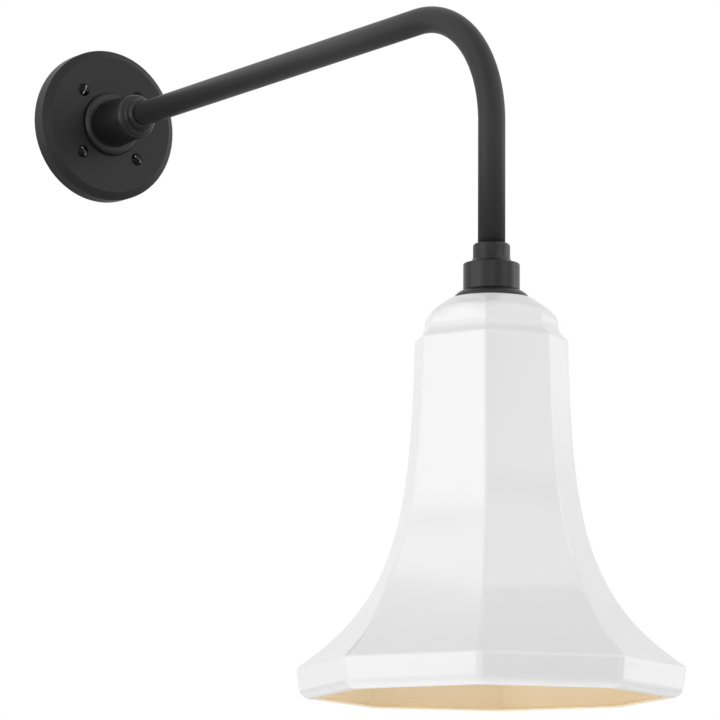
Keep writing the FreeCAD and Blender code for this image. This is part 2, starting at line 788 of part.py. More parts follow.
def nipple():
    """Hollow threaded rod from the cup's web to the lampholder's cap."""
    return down_from_arm(ring(nipple_bore_radius, nipple_radius, nipple_top_drop, nipple_end_drop))


def nipple_nut():
    """Hexagon nut on the hollow rod, inside the end of the tube."""
    low = tube_end_drop - nipple_nut_thickness
    corner_radius = nipple_nut_across_flats / 2 / math.cos(math.pi / nipple_nut_sides)
    corners = []
    for index in range(nipple_nut_sides):
        turn = math.radians(full_turn * index / nipple_nut_sides)
        corners.append(Vector(corner_radius * math.cos(turn), corner_radius * math.sin(turn), low))
    outline = Part.makePolygon(corners + corners[:1])
    nut = Part.Face(outline).extrude(Vector(0, 0, nipple_nut_thickness))
    bore = rod(nipple_radius + nipple_fit, low - overrun, tube_end_drop + overrun)
    return down_from_arm(nut.cut(bore))


def lampholder_cap():
    """Metal cap with a tapped hub, on top of the porcelain body."""
    disc_drop = holder_cap_drop - holder_cap_thickness
    return down_from_arm(turned([
        (nipple_radius + nipple_fit, cup_cavity_drop, 0), (holder_hub_radius, cup_cavity_drop, 0),
        (holder_hub_radius, disc_drop, 0), (holder_cap_radius, disc_drop, 0),
        (holder_cap_radius, holder_cap_drop, 0), (nipple_radius + nipple_fit, holder_cap_drop, 0)]))


def lampholder_body():
    """Porcelain body: a terminal chamber above, a floor, and the deep bore of the socket."""
    body = turned([
        (0, chamber_floor_drop, 0), (chamber_radius, chamber_floor_drop, 0),
        (chamber_radius, holder_cap_drop, 0), (porcelain_radius, holder_cap_drop, porcelain_round),
        (porcelain_radius, porcelain_end_drop, porcelain_round),
        (socket_bore_radius, porcelain_end_drop, 0), (socket_bore_radius, socket_floor_drop, 0),
        (0, socket_floor_drop, 0)])
    for side in (-1, 1):
        body = body.cut(rod(terminal_screw_radius + terminal_hole_gap, chamber_floor_drop - overrun,
                            chamber_floor_drop + terminal_screw_length, side * terminal_screw_x))
    return down_from_arm(body)


def terminal_plates():
    """Two brass plates on the chamber's floor, one under each lead's end."""
    plates = []
    low = chamber_floor_drop - terminal_thickness
    length = terminal_outer_x - terminal_inner_x
    for side in (-1, 1):
        centre_x = side * (terminal_inner_x + terminal_outer_x) / 2
        plate = block(length, 2 * terminal_half_width, low, chamber_floor_drop, centre_x)
        hole = rod(terminal_screw_radius + terminal_hole_gap, low - overrun, chamber_floor_drop + overrun,
                   side * terminal_screw_x)
        plates.append(down_from_arm(plate.cut(hole)))
    return Part.makeCompound(plates)


def terminal_screws():
    """Two brass screws that hold the terminal plates to the porcelain."""
    seat = chamber_floor_drop - terminal_thickness
    screw = slotted_screw(terminal_screw_radius, terminal_screw_length, terminal_screw_head_radius,
                          terminal_screw_head_height, terminal_screw_slot_width, terminal_screw_slot_depth)
    screw = screw.rotated(Vector(), axis_x, half_turn)
    screws = [down_from_arm(screw.translated(Vector(side * terminal_screw_x, 0, seat))) for side in (-1, 1)]
    return Part.makeCompound(screws)


def screw_shell():
    """Brass shell of the socket, with a lip that seats on the porcelain floor."""
    inner_radius = shell_radius - shell_wall
    lip_drop = socket_floor_drop + shell_lip_thickness
    return down_from_arm(turned([
        (shell_lip_radius, socket_floor_drop, 0), (shell_radius, socket_floor_drop, 0),
        (shell_radius, shell_end_drop, 0), (inner_radius, shell_end_drop, 0),
        (inner_radius, lip_drop, 0), (shell_lip_radius, lip_drop, 0)]))


def centre_contact():
    """Brass contact in the middle of the socket's floor."""
    disc_drop = socket_floor_drop + contact_disc_thickness
    return down_from_arm(turned([
        (0, socket_floor_drop, 0), (contact_disc_radius, socket_floor_drop, 0),
        (contact_disc_radius, disc_drop, 0), (contact_tongue_radius, disc_drop, 0),
        (contact_tongue_radius, contact_drop, 0), (0, contact_drop, 0)]))


def lamp_contact():
    """Tip contact of the lamp."""
    return down_from_arm(rod(lamp_contact_radius, contact_drop, contact_drop + lamp_contact_height))


def lamp_insulator():
    """Glass insulator between the lamp's tip contact and its cap."""
    low = contact_drop + lamp_contact_height
    return down_from_arm(turned([
        (0, low, 0), (lamp_contact_radius, low, 0), (insulator_radius, lamp_cap_drop, 0),
        (0, lamp_cap_drop, 0)]))


def lamp_cap():
    """Thin metal screw cap of the lamp, open where the glass sits on it."""
    inner_radius = cap_radius - cap_wall
    floor_drop = lamp_cap_drop + cap_wall
    return down_from_arm(turned([
        (0, lamp_cap_drop, 0), (cap_radius, lamp_cap_drop, cap_round), (cap_radius, glass_drop, 0),
        (inner_radius, glass_drop, 0), (inner_radius, floor_drop, cap_round - cap_wall), (0, floor_drop, 0)]))


def glass_outline(depth):
    """Outline points of the lamp's envelope at a depth inside its surface."""
    neck_radius = cap_radius + glass_neck_step
    neck_end = glass_drop + glass_neck_length
    swell_drop = neck_end + glass_swell_length
    swell_turn = math.atan2(glass_radius - neck_radius, glass_swell_length)
    side_drop = swell_drop + glass_swell_round * math.tan(swell_turn / 2) + glass_side_length
    end_round = glass_radius - glass_end_flat
    end_drop = side_drop + end_round - depth
    return [(neck_radius - depth, glass_drop, 0),
            (neck_radius - depth, neck_end, glass_neck_round + depth),
            (glass_radius - depth, swell_drop, glass_swell_round - depth),
            (glass_radius - depth, end_drop, end_round - depth),
            (0, end_drop, 0)]


def lamp_glass():
    """Pear-shaped envelope of the lamp, open where it sits on the cap."""
    return down_from_arm(turned(glass_outline(0) + glass_outline(glass_wall)[::-1]))


nodes = {
    "wall_plate": wall_plate(),
    "wall_gasket": wall_gasket(),
    "mounting_ring": mounting_ring(),
    "plate_screws": plate_screws(),
    "hub_flange": hub_flange(),
    "hub_coupling": hub_coupling(),
    "hub_washer": hub_washer(),
    "hub_locknut": hub_locknut(),
    "arm_tube": arm_tube(),
    "wire_bush": wire_bush(),
    "live_lead": arm_lead(1),
    "neutral_lead": arm_lead(-1),
    "wire_connectors": wire_connectors(),
    "earth_screws": earth_screws(),
    "earth_lead": earth_lead(),
    "socket_cup": socket_cup(),
    "set_screw": set_screw(),
    "shade_holder": shade_holder(),
    "shade_seal": shade_seal(),
    "shade": shade(),
    "clamp_ring": clamp_ring(),
    "nipple": nipple(),
    "nipple_nut": nipple_nut(),
    "lampholder_cap": lampholder_cap(),
    "lampholder_body": lampholder_body(),
    "terminal_plates": terminal_plates(),
    "terminal_screws": terminal_screws(),
    "screw_shell": screw_shell(),
    "centre_contact": centre_contact(),
    "lamp_contact": lamp_contact(),
    "lamp_insulator": lamp_insulator(),
    "lamp_cap": lamp_cap(),
    "lamp_glass": lamp_glass(),
}

os.makedirs("parts", exist_ok=True)
for name, shape in nodes.items():
    shape.exportStep(os.path.join("parts", name + ".step"))
    print(name, "solids", len(shape.Solids), "valid", shape.isValid(), "volume", round(shape.Volume, 1))
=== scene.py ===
import json
import logging
import math
from dataclasses import dataclass, field
from enum import Enum

import bmesh
import bpy
from mathutils import Matrix, Vector


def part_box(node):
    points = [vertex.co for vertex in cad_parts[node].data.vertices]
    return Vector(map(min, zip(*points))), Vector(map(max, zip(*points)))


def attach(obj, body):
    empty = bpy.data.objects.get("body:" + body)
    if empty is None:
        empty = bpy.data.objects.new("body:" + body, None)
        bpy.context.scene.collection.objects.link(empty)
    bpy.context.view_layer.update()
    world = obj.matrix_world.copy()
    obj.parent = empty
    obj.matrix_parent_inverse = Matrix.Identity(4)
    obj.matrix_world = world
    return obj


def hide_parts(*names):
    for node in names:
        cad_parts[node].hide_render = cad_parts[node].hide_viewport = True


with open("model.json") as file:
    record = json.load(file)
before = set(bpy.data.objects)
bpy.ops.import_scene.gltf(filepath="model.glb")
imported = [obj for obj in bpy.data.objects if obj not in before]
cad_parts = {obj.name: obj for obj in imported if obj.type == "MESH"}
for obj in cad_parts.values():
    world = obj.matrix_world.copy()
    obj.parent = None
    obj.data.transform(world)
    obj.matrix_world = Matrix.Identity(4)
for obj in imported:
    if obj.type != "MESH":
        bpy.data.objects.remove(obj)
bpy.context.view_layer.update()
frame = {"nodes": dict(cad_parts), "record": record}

log = logging.getLogger("barn_light")

MM = 0.001
FULL_TURN = 2 * math.pi
# Points nearer to each other than this many millimetres are one point
MERGE = 0.001
# Edges sharper than the first angle look hard, and the shade's edges sharper than the second are rounded
CREASE = math.radians(33)
LIP_ANGLE = math.radians(50)
# Numbers of a colour mix's sockets, whose names other kinds of mix share
COLOUR_A, COLOUR_B, COLOUR_RESULT = 6, 7, 2

# Sizes that several pieces follow, in millimetres
PLATE_FACE = 20.1
TUBE_RADIUS = 11.9
TUBE_BORE = 11.93
TUBE_START = 62.0
TUBE_END = 231.0
THREAD_PITCH = 3.63
# Steps in one turn of a round piece and of a thread
ROUND_SEGMENTS = 96
THREAD_SEGMENTS = 72


class Body(Enum):
    """The two bodies of the light: what stays on the wall, and the lamp that comes out."""

    FIXTURE = "fixture"
    LAMP = "lamp"


def linear(hex_colour: str) -> tuple[float, float, float, float]:
    """Turn an sRGB hex colour into linear values.

    Args:
        hex_colour: Six hex digits after a hash sign.

    Returns:
        Red, green, blue and a full alpha.
    """
    channels = []
    for start in (1, 3, 5):
        value = int(hex_colour[start:start + 2], 16) / 255
        channels.append(value / 12.92 if value <= 0.04045 else ((value + 0.055) / 1.055) ** 2.4)
    return channels[0], channels[1], channels[2], 1.0


def add_node(tree: bpy.types.NodeTree, kind: str, settings: dict | None = None,
             inputs: dict | None = None) -> bpy.types.Node:
    """Add one shader node with its settings, values and links.

    Args:
        tree: Node tree that takes the node.
        kind: Blender's type name for the node.
        settings: Attributes to set on the node.
        inputs: For each input socket, by name or number, a value or an output socket to link from.

    Returns:
        The new node.
    """
    node = tree.nodes.new(kind)
    for name, value in (settings or {}).items():
        setattr(node, name, value)
    for name, value in (inputs or {}).items():
        if isinstance(value, bpy.types.NodeSocket):
            tree.links.new(value, node.inputs[name])
        else:
            node.inputs[name].default_value = value
    return node


@dataclass(frozen=True)
class Finish:
    """A finish of the light: its shader values, a slow drift of tone and a fine grain in the surface."""

    name: str
    colour: str
    drift_colour: str
    roughness: float
    roughness_spread: float = 0.04
    metallic: float = 0.0
    ior: float = 1.5
    drift_mm: float = 45.0
    drift_detail: float = 1.0
    grain_mm: float = 0.8
    grain_height_mm: float = 0.01
    grain_detail: float = 2.0
    stretch: tuple[float, float, float] = (1.0, 1.0, 1.0)

    def noise(self, tree: bpy.types.NodeTree, size_mm: float, detail: float) -> bpy.types.Node:
        """Add a noise whose blobs are about as large as a real size.

        Args:
            tree: Node tree of the material.
            size_mm: Size of one blob.
            detail: Octaves of finer noise on top.

        Returns:
            The noise node.
        """
        place = add_node(tree, "ShaderNodeTexCoord")
        mapping = add_node(tree, "ShaderNodeMapping", inputs={
            "Vector": place.outputs["Object"], "Scale": self.stretch})
        return add_node(tree, "ShaderNodeTexNoise", inputs={
            "Vector": mapping.outputs["Vector"], "Scale": 1 / (size_mm * MM), "Detail": detail})

    def build(self) -> bpy.types.Material:
        """Make the material.

        Returns:
            The finished node material.
        """
        material = bpy.data.materials.new(self.name)
        material.use_nodes = True
        tree = material.node_tree
        shader = tree.nodes["Principled BSDF"]
        shader.inputs["Metallic"].default_value = self.metallic
        if self.metallic == 0:
            shader.inputs["IOR"].default_value = self.ior
        drift = self.noise(tree, self.drift_mm, self.drift_detail)
        tone = add_node(tree, "ShaderNodeMix", {"data_type": "RGBA"}, {
            "Factor": drift.outputs["Fac"], COLOUR_A: linear(self.colour),
            COLOUR_B: linear(self.drift_colour)})
        tree.links.new(tone.outputs[COLOUR_RESULT], shader.inputs["Base Color"])
        gloss = add_node(tree, "ShaderNodeMapRange", inputs={
            "Value": drift.outputs["Fac"], "To Min": self.roughness - self.roughness_spread / 2,
            "To Max": self.roughness + self.roughness_spread / 2})
        tree.links.new(gloss.outputs["Result"], shader.inputs["Roughness"])
        grain = self.noise(tree, self.grain_mm, self.grain_detail)
        bump = add_node(tree, "ShaderNodeBump", inputs={
            "Height": grain.outputs["Fac"], "Distance": self.grain_height_mm * MM})
        tree.links.new(bump.outputs["Normal"], shader.inputs["Normal"])
        return material


FINISHES = {
    # Polyester powder coat on steel and cast iron: matte, with a fine even orange peel
    "matte_black": Finish("black_powder_coat", "#212121", "#242424", 0.4, ior=1.3, grain_mm=0.9,
                          grain_height_mm=0.012),
    # The same coat on drawn tube, where its smooth steel shows the grain less; its colour is painted paler,
    # a lit copy of the coat that paints in the stronger light on the arm
    "painted_lit_tube_black": Finish("painted_lit_black_coated_tube", "#2b2b2b", "#2e2e2e", 0.44, ior=1.3, grain_mm=0.9,
                         grain_height_mm=0.01),
    # The same coat on turned castings, which sheds more of its texture and keeps a satin sheen; its colour
    # is painted darker, a shaded copy of the coat that paints in the shade round the hub, cup and ring
    "painted_shade_cast_black": Finish("painted_shade_black_coated_casting", "#101010", "#131313", 0.34, ior=1.38, grain_mm=1.1,
                         grain_height_mm=0.01),
    # Gloss black paint over plated steel screws
    "gloss_black": Finish("gloss_black_paint", "#0a0a0a", "#0d0d0d", 0.12, ior=1.2, grain_mm=1.5,
                          grain_height_mm=0.004),
    # Screw slots where the driver has scraped the paint off the steel in places
    "worn_slot": Finish("scraped_screw_slot", "#2a2a2a", "#c8c8c8", 0.3, metallic=1.0, drift_mm=1.6,
                        grain_mm=0.4, grain_height_mm=0.01),
    # Vitreous enamel fired on pressed steel: glassy, with a slow ripple that bends reflections a little
    "enamel_white": Finish("white_vitreous_enamel", "#f3f3f3", "#f5f5f5", 0.14, roughness_spread=0.02,
                           grain_mm=9.0, grain_height_mm=0.02, grain_detail=1.0),
    # The same enamel in a warm cream, fired on the inside to soften the light
    "enamel_cream": Finish("cream_vitreous_enamel", "#fbecd2", "#fbeed6", 0.16, roughness_spread=0.02,
                           grain_mm=9.0, grain_height_mm=0.02, grain_detail=1.0),
    # Bright zinc plate on pressed steel, with faint rolling marks
    "zinc": Finish("zinc_plated_steel", "#b8bbc0", "#c8cacd", 0.34, metallic=1.0, drift_mm=12.0,
                   grain_mm=0.7, grain_height_mm=0.006, stretch=(1.0, 1.0, 0.15)),
    # Closed-cell neoprene foam: dull, with open pores on its cut faces
    "foam": Finish("neoprene_foam", "#1c1c1c", "#262626", 0.85, grain_mm=0.6, grain_height_mm=0.08),
    # Moulded nylon: dark, with the mould's fine spark-eroded texture
    "bush_plastic": Finish("black_nylon", "#161616", "#1c1c1c", 0.45, grain_mm=0.5, grain_height_mm=0.01),
    # Extruded wire insulation, smooth along its length with a waxy sheen
    "lead_black": Finish("black_wire_insulation", "#141414", "#1b1b1b", 0.4, grain_mm=0.6),
    "lead_white": Finish("white_wire_insulation", "#e6e4de", "#dedcd4", 0.4, grain_mm=0.6),
    # Moulded polypropylene: soft gloss and a strong even colour
    "connector_orange": Finish("orange_polypropylene", "#d9711f", "#e07b2a", 0.38, grain_mm=0.7),
    # Soft-drawn bare copper with a light tarnish
    "copper": Finish("bare_copper", "#c0764a", "#a5623c", 0.35, metallic=1.0, drift_mm=6.0),
    # Drawn and pressed brass, a little dulled by handling
    "brass": Finish("bright_brass", "#cfa75a", "#b8934c", 0.26, metallic=1.0, drift_mm=8.0),
    # Glazed electrical porcelain: warm white under a clear glaze
    "porcelain": Finish("glazed_porcelain", "#ece8de", "#e6e2d6", 0.12, grain_mm=4.0),
    # Nickel plate on drawn brass: bright, a little warm and finely scuffed by the screw
    "lamp_metal": Finish("nickel_plated_brass", "#c9c9c6", "#d6d6d3", 0.22, metallic=1.0, drift_mm=7.0),
    # Black glass pressed hot round the lamp's contact, with a mirror gloss
    "lamp_insulator": Finish("black_vitrite_glass", "#0e0b10", "#151118", 0.1, grain_mm=1.5),
    # Blown glass with a silica powder coat inside, seen as an even milky white
    "frosted_glass": Finish("opal_lamp_glass", "#efeeea", "#f3f2ee", 0.22, grain_mm=6.0),
}


class Palette:
    """The finishes as built materials, each made once."""

    def __init__(self) -> None:
        """Start with nothing built."""
        self.built: dict[str, bpy.types.Material] = {}

    def get(self, slot: str) -> bpy.types.Material:
        """Give a finish's material, building it at its first use.

        Args:
            slot: Name of the finish.

        Returns:
            Its material.
        """
        if slot not in self.built:
            self.built[slot] = FINISHES[slot].build()
        return self.built[slot]


class Axis(Enum):
    """The two lines that round pieces are turned on: out from the wall, and down through the lamp."""

    WALL = "wall"
    LAMP = "lamp"

    @property
    def way(self) -> Vector:
        """Direction in which distances along the line grow."""
        return Vector((0, -1, 0)) if self is Axis.WALL else Vector((0, 0, -1))

    @property
    def start(self) -> Vector:
        """Point of the line from which distances along it are counted.

        Returns:
            The point in millimetres, which for the lamp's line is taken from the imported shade.
        """
        if self is Axis.WALL:
            return Vector((0, 0, 0))
        low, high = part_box("shade")
        return Vector((0, (low.y + high.y) / 2 / MM, 0))

    def place(self, radius: float, along: float) -> Vector:
        """Point at a distance from the line, on its +X side, and at a distance along it."""
        return self.start + self.way * along + Vector((radius, 0, 0))


@dataclass(frozen=True)
class Corner:
    """One corner of an outline: its distance from the axis, its place along it and its rounding."""

    radius: float
    along: float
    rounding: float = 0.0

    @property
    def point(self) -> Vector:
        """The corner as a point of the outline's plane."""
        return Vector((self.radius, self.along))


def rounded_run(corners: list[Corner], steps: int = 8) -> list[Vector]:
    """Points along an open outline, with each rounded corner turned into an arc.

    Args:
        corners: The outline's corners in order.
        steps: Straight pieces in each arc.

    Returns:
        Points as (radius, along).
    """
    points = [corners[0].point]
    for before, corner, after in zip(corners, corners[1:], corners[2:]):
        if corner.rounding == 0:
            points.append(corner.point)
            continue
        back = (before.point - corner.point).normalized()
        onward = (after.point - corner.point).normalized()
        half_angle = back.angle(onward) / 2
        centre = corner.point + (back + onward).normalized() * (corner.rounding / math.sin(half_angle))
        reach = corner.rounding / math.tan(half_angle)
        start = corner.point + back * reach - centre
        sweep = start.angle_signed(corner.point + onward * reach - centre)
        for step in range(steps + 1):
            points.append(centre + Matrix.Rotation(-sweep * step / steps, 2) @ start)
    points.append(corners[-1].point)
    return points


def ease(value: float, start: float, end: float) -> float:
    """Share of the way from start to end, easing in and out, and held outside them."""
    share = min(max((value - start) / (end - start), 0.0), 1.0)
    return share * share * (3 - 2 * share)


def draw_line(mesh: bmesh.types.BMesh, points: list[Vector]) -> list[bmesh.types.BMVert]:
    """Draw a line through points, one edge from each to the next.

    Args:
        mesh: Mesh that takes the line.
        points: At least two points, in millimetres.

    Returns:
        The line's vertices in order.
    """
    line = list(bmesh.ops.create_vert(mesh, co=points[0])["vert"])
    for before, after in zip(points, points[1:]):
        grown = bmesh.ops.extrude_vert_indiv(mesh, verts=line[-1:])["verts"]
        bmesh.ops.translate(mesh, vec=after - before, verts=grown)
        line += grown
    return line


def spin_line(mesh: bmesh.types.BMesh, line: list[bmesh.types.BMVert], axis: Axis, segments: int,
              turns: int = 0, pitch: float = 0.0) -> None:
    """Spin a line round an axis, into a closed turned face or into a thread.

    Args:
        mesh: Mesh that holds the line.
        line: The line's vertices.
        axis: Axis of the turned face.
        segments: Steps in one turn.
        turns: Whole turns of a thread, or none for a plain turned face.
        pitch: Rise of the thread in one turn.
    """
    edges = {edge for vert in line for edge in vert.link_edges}
    bmesh.ops.spin(mesh, geom=line + list(edges), cent=axis.start, axis=axis.way,
                   dvec=axis.way * (pitch / segments), angle=FULL_TURN * max(turns, 1),
                   steps=segments * max(turns, 1), use_merge=turns == 0, use_duplicate=False)


def turned_mesh(outline: list[Vector], axis: Axis, segments: int = ROUND_SEGMENTS) -> bmesh.types.BMesh:
    """Turn an outline into a mesh whose faces point outwards.

    Args:
        outline: Points as (radius, along). A closed outline ends on its first point.
        axis: Axis of the piece.
        segments: Steps round the axis.

    Returns:
        The mesh, in millimetres.
    """
    mesh = bmesh.new()
    line = draw_line(mesh, [axis.place(point.x, point.y) for point in outline])
    spin_line(mesh, line, axis, segments)
    bmesh.ops.remove_doubles(mesh, verts=mesh.verts, dist=MERGE)
    bmesh.ops.recalc_face_normals(mesh, faces=mesh.faces)
    return mesh


def ring_body(corners: list[Corner], axis: Axis) -> bmesh.types.BMesh:
    """Turn a closed outline of corners, the first of which is sharp, into a ring-shaped body."""
    return turned_mesh(rounded_run(corners + corners[:1]), axis)


@dataclass
class PipeRun:
    """A round pipe or wire that is drawn forward in straight lengths and turns."""

    start: Vector
    way: Vector
    radius: float
    segments: int = 16
    turn_steps: int = 24

    def __post_init__(self) -> None:
        """Draw the first ring across the run's way."""
        self.mesh = bmesh.new()
        across = Matrix.Translation(self.start) @ self.way.to_track_quat("Z", "X").to_matrix().to_4x4()
        bmesh.ops.create_circle(self.mesh, cap_ends=False, segments=self.segments, radius=self.radius,
                                matrix=across)
        self.ring: list[bmesh.types.BMEdge] = list(self.mesh.edges)

    @property
    def centre(self) -> Vector:
        """Centre of the ring at the run's front."""
        places = [vert.co for edge in self.ring for vert in edge.verts]
        return sum(places, Vector()) / len(places)

    def straight(self, length: float) -> None:
        """Draw the run forward.

        Args:
            length: How far to go.
        """
        grown = bmesh.ops.extrude_edge_only(self.mesh, edges=self.ring)["geom"]
        bmesh.ops.translate(self.mesh, vec=self.way * length,
                            verts=[item for item in grown if isinstance(item, bmesh.types.BMVert)])
        self.ring = [item for item in grown if isinstance(item, bmesh.types.BMEdge)]

    def turn(self, towards: Vector, radius: float) -> None:
        """Bend the run by a quarter turn.

        Args:
            towards: Way in which the run goes on.
            radius: Radius of the bend's middle line.
        """
        ends = {vert for edge in self.ring for vert in edge.verts}
        spun = bmesh.ops.spin(self.mesh, geom=list(ends) + self.ring, cent=self.centre + towards * radius,
                              axis=towards.cross(self.way), dvec=(0, 0, 0), angle=-math.pi / 2,
                              steps=self.turn_steps, use_merge=False, use_duplicate=False)
        self.ring = [item for item in spun["geom_last"] if isinstance(item, bmesh.types.BMEdge)]
        self.way = towards

    def finished(self) -> bmesh.types.BMesh:
        """Finish the run as a mesh whose faces point outwards.

        Returns:
            The mesh, open at both ends.
        """
        bmesh.ops.remove_doubles(self.mesh, verts=self.mesh.verts, dist=MERGE)
        bmesh.ops.recalc_face_normals(self.mesh, faces=self.mesh.faces)
        return self.mesh


@dataclass
class SubAssembly:
    """A group of pieces that are made together."""

    palette: Palette

    def add(self, name: str, mesh: bmesh.types.BMesh, slot: str, *nodes: str, finish: str = "",
            body: Body = Body.FIXTURE) -> bpy.types.Object:
        """Turn a mesh in millimetres into an object that rides on a body and stands for CAD nodes.

        Args:
            name: Name of the piece.
            mesh: The finished mesh, which is freed.
            slot: The record's name for the piece's finish.
            *nodes: CAD nodes that it replaces.
            finish: The finish, where it isn't the one that the slot is named for.
            body: Body that the piece moves with.

        Returns:
            The new object.
        """
        bmesh.ops.scale(mesh, vec=(MM, MM, MM), verts=mesh.verts)
        data = bpy.data.meshes.new(name)
        mesh.to_mesh(data)
        mesh.free()
        data.shade_smooth()
        data.set_sharp_from_angle(angle=CREASE)
        data.materials.append(self.palette.get(finish or slot))
        piece = bpy.data.objects.new(name, data)
        bpy.context.scene.collection.objects.link(piece)
        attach(piece, body.value)
        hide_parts(*nodes)
        log.info("%s: %d faces on %s, for %s", name, len(data.polygons), body.value, ", ".join(nodes))
        return piece


def thicken(piece: bpy.types.Object, wall: float, inner_material: bool = False) -> bpy.types.Modifier:
    """Give a piece's faces a wall that grows inwards.

    Args:
        piece: Piece whose faces are its outer side.
        wall: Thickness in millimetres.
        inner_material: Whether the inner side takes the piece's second material.

    Returns:
        The wall's modifier.
    """
    modifier = piece.modifiers.new("wall", "SOLIDIFY")
    modifier.thickness = wall * MM
    modifier.offset = -1.0
    modifier.use_even_offset = True
    modifier.material_offset = int(inner_material)
    modifier.material_offset_rim = int(inner_material)
    return modifier


@dataclass
class Hub(SubAssembly):
    """Flange ring on the wall plate, and the barrel with a bead that holds the arm."""

    plate_face: float = PLATE_FACE
    flange_top: float = 27.1
    flange_radius: float = 31.7
    flange_round: float = 4.5
    flange_bore: float = 20.05
    spigot_radius: float = 20.0
    spigot_end: float = 11.0
    cavity_radius: float = 17.0
    barrel_radius: float = 23.8
    barrel_front_radius: float = 21.2
    barrel_top: float = 73.6
    barrel_round: float = 5.4
    cove_round: float = 2.8
    bead_radius: float = 15.7
    bead_top: float = 83.6
    bead_round: float = 3.2
    tube_bore: float = TUBE_BORE
    tube_start: float = TUBE_START

    def build(self) -> None:
        """Make the flange and the coupling."""
        flange = ring_body([
            Corner(self.flange_bore, self.plate_face), Corner(self.flange_radius, self.plate_face),
            Corner(self.flange_radius, self.flange_top, self.flange_round),
            Corner(self.flange_bore, self.flange_top)], Axis.WALL)
        coupling = ring_body([
            Corner(self.cavity_radius, self.spigot_end), Corner(self.spigot_radius, self.spigot_end),
            Corner(self.spigot_radius, self.flange_top), Corner(self.barrel_radius, self.flange_top),
            Corner(self.barrel_front_radius, self.barrel_top, self.barrel_round),
            Corner(self.bead_radius, self.barrel_top, self.cove_round),
            Corner(self.bead_radius, self.bead_top, self.bead_round),
            Corner(self.tube_bore, self.bead_top), Corner(self.tube_bore, self.tube_start),
            Corner(self.cavity_radius, self.tube_start)], Axis.WALL)
        # The flange and barrel take the darker copy of the coat: painted shade for the shade round the hub
        self.add("flange_ring", flange, "matte_black", "hub_flange", finish="painted_shade_cast_black")
        self.add("beaded_barrel", coupling, "matte_black", "hub_coupling", finish="painted_shade_cast_black")


@dataclass
class Arm(SubAssembly):
    """Bent steel tube, and the leads that run through it to the lampholder."""

    reach: float = 659.0
    tube_radius: float = TUBE_RADIUS
    tube_wall: float = 2.0
    bend_radius: float = 111.5
    bend_steps: int = 48
    tube_start: float = TUBE_START
    tube_end_drop: float = TUBE_END
    lead_radius: float = 1.1
    lead_wall: float = 0.55
    lead_side: float = 1.7
    lead_depth: float = 8.8
    lead_turn_radius: float = 8.0
    lead_start: float = 42.0
    lead_end_drop: float = 254.8
    earth_start: Vector = field(default_factory=lambda: Vector((17.5, -4.1, -46.0)))
    earth_run: float = 2.5
    earth_turn_radius: float = 4.5
    earth_rise: float = 2.0

    def tube(self) -> bmesh.types.BMesh:
        """Draw the tube from the hub, through its bend, down to the cup.

        Returns:
            The tube's outer face.
        """
        run = PipeRun(Vector((0, -self.tube_start, 0)), Vector((0, -1, 0)), self.tube_radius,
                      ROUND_SEGMENTS, self.bend_steps)
        run.straight(self.reach - self.bend_radius - self.tube_start)
        run.turn(Vector((0, 0, -1)), self.bend_radius)
        run.straight(self.tube_end_drop - self.bend_radius)
        return run.finished()

    def lead(self, side: int) -> bmesh.types.BMesh:
        """Draw the lead on one side, from its connector to its terminal.

        Args:
            side: +1 for the live lead and -1 for the neutral one.

        Returns:
            The lead's mesh.
        """
        start = Vector((side * self.lead_side, -self.lead_depth, side * self.lead_start))
        run = PipeRun(start, Vector((0, 0, -side)), self.lead_radius)
        run.straight(self.lead_start - self.lead_turn_radius)
        run.turn(Vector((0, -1, 0)), self.lead_turn_radius)
        run.straight(self.reach - self.bend_radius - self.lead_depth - self.lead_turn_radius)
        run.turn(Vector((0, 0, -1)), self.bend_radius)
        run.straight(self.lead_end_drop - self.bend_radius)
        return run.finished()

    def earth_lead(self) -> bmesh.types.BMesh:
        """Draw the short bare lead between the two earth screws.

        Returns:
            The lead's mesh.
        """
        run = PipeRun(self.earth_start, Vector((1, 0, 0)), self.lead_radius)
        run.straight(self.earth_run)
        run.turn(Vector((0, -1, 0)), self.earth_turn_radius)
        run.straight(self.earth_rise)
        return run.finished()

    def build(self) -> None:
        """Make the tube and the three leads."""
        # The tube takes the paler copy of the coat: painted light for the stronger light on the arm
        tube = self.add("bent_tube", self.tube(), "matte_black", "arm_tube", finish="painted_lit_tube_black")
        thicken(tube, self.tube_wall)
        for name, side, slot in (("live_lead", 1, "lead_black"), ("neutral_lead", -1, "lead_white")):
            lead = self.add("insulated_" + name, self.lead(side), slot, name)
            thicken(lead, self.lead_wall)
        earth = self.add("bare_earth_lead", self.earth_lead(), "copper", "earth_lead")
        thicken(earth, self.lead_wall)


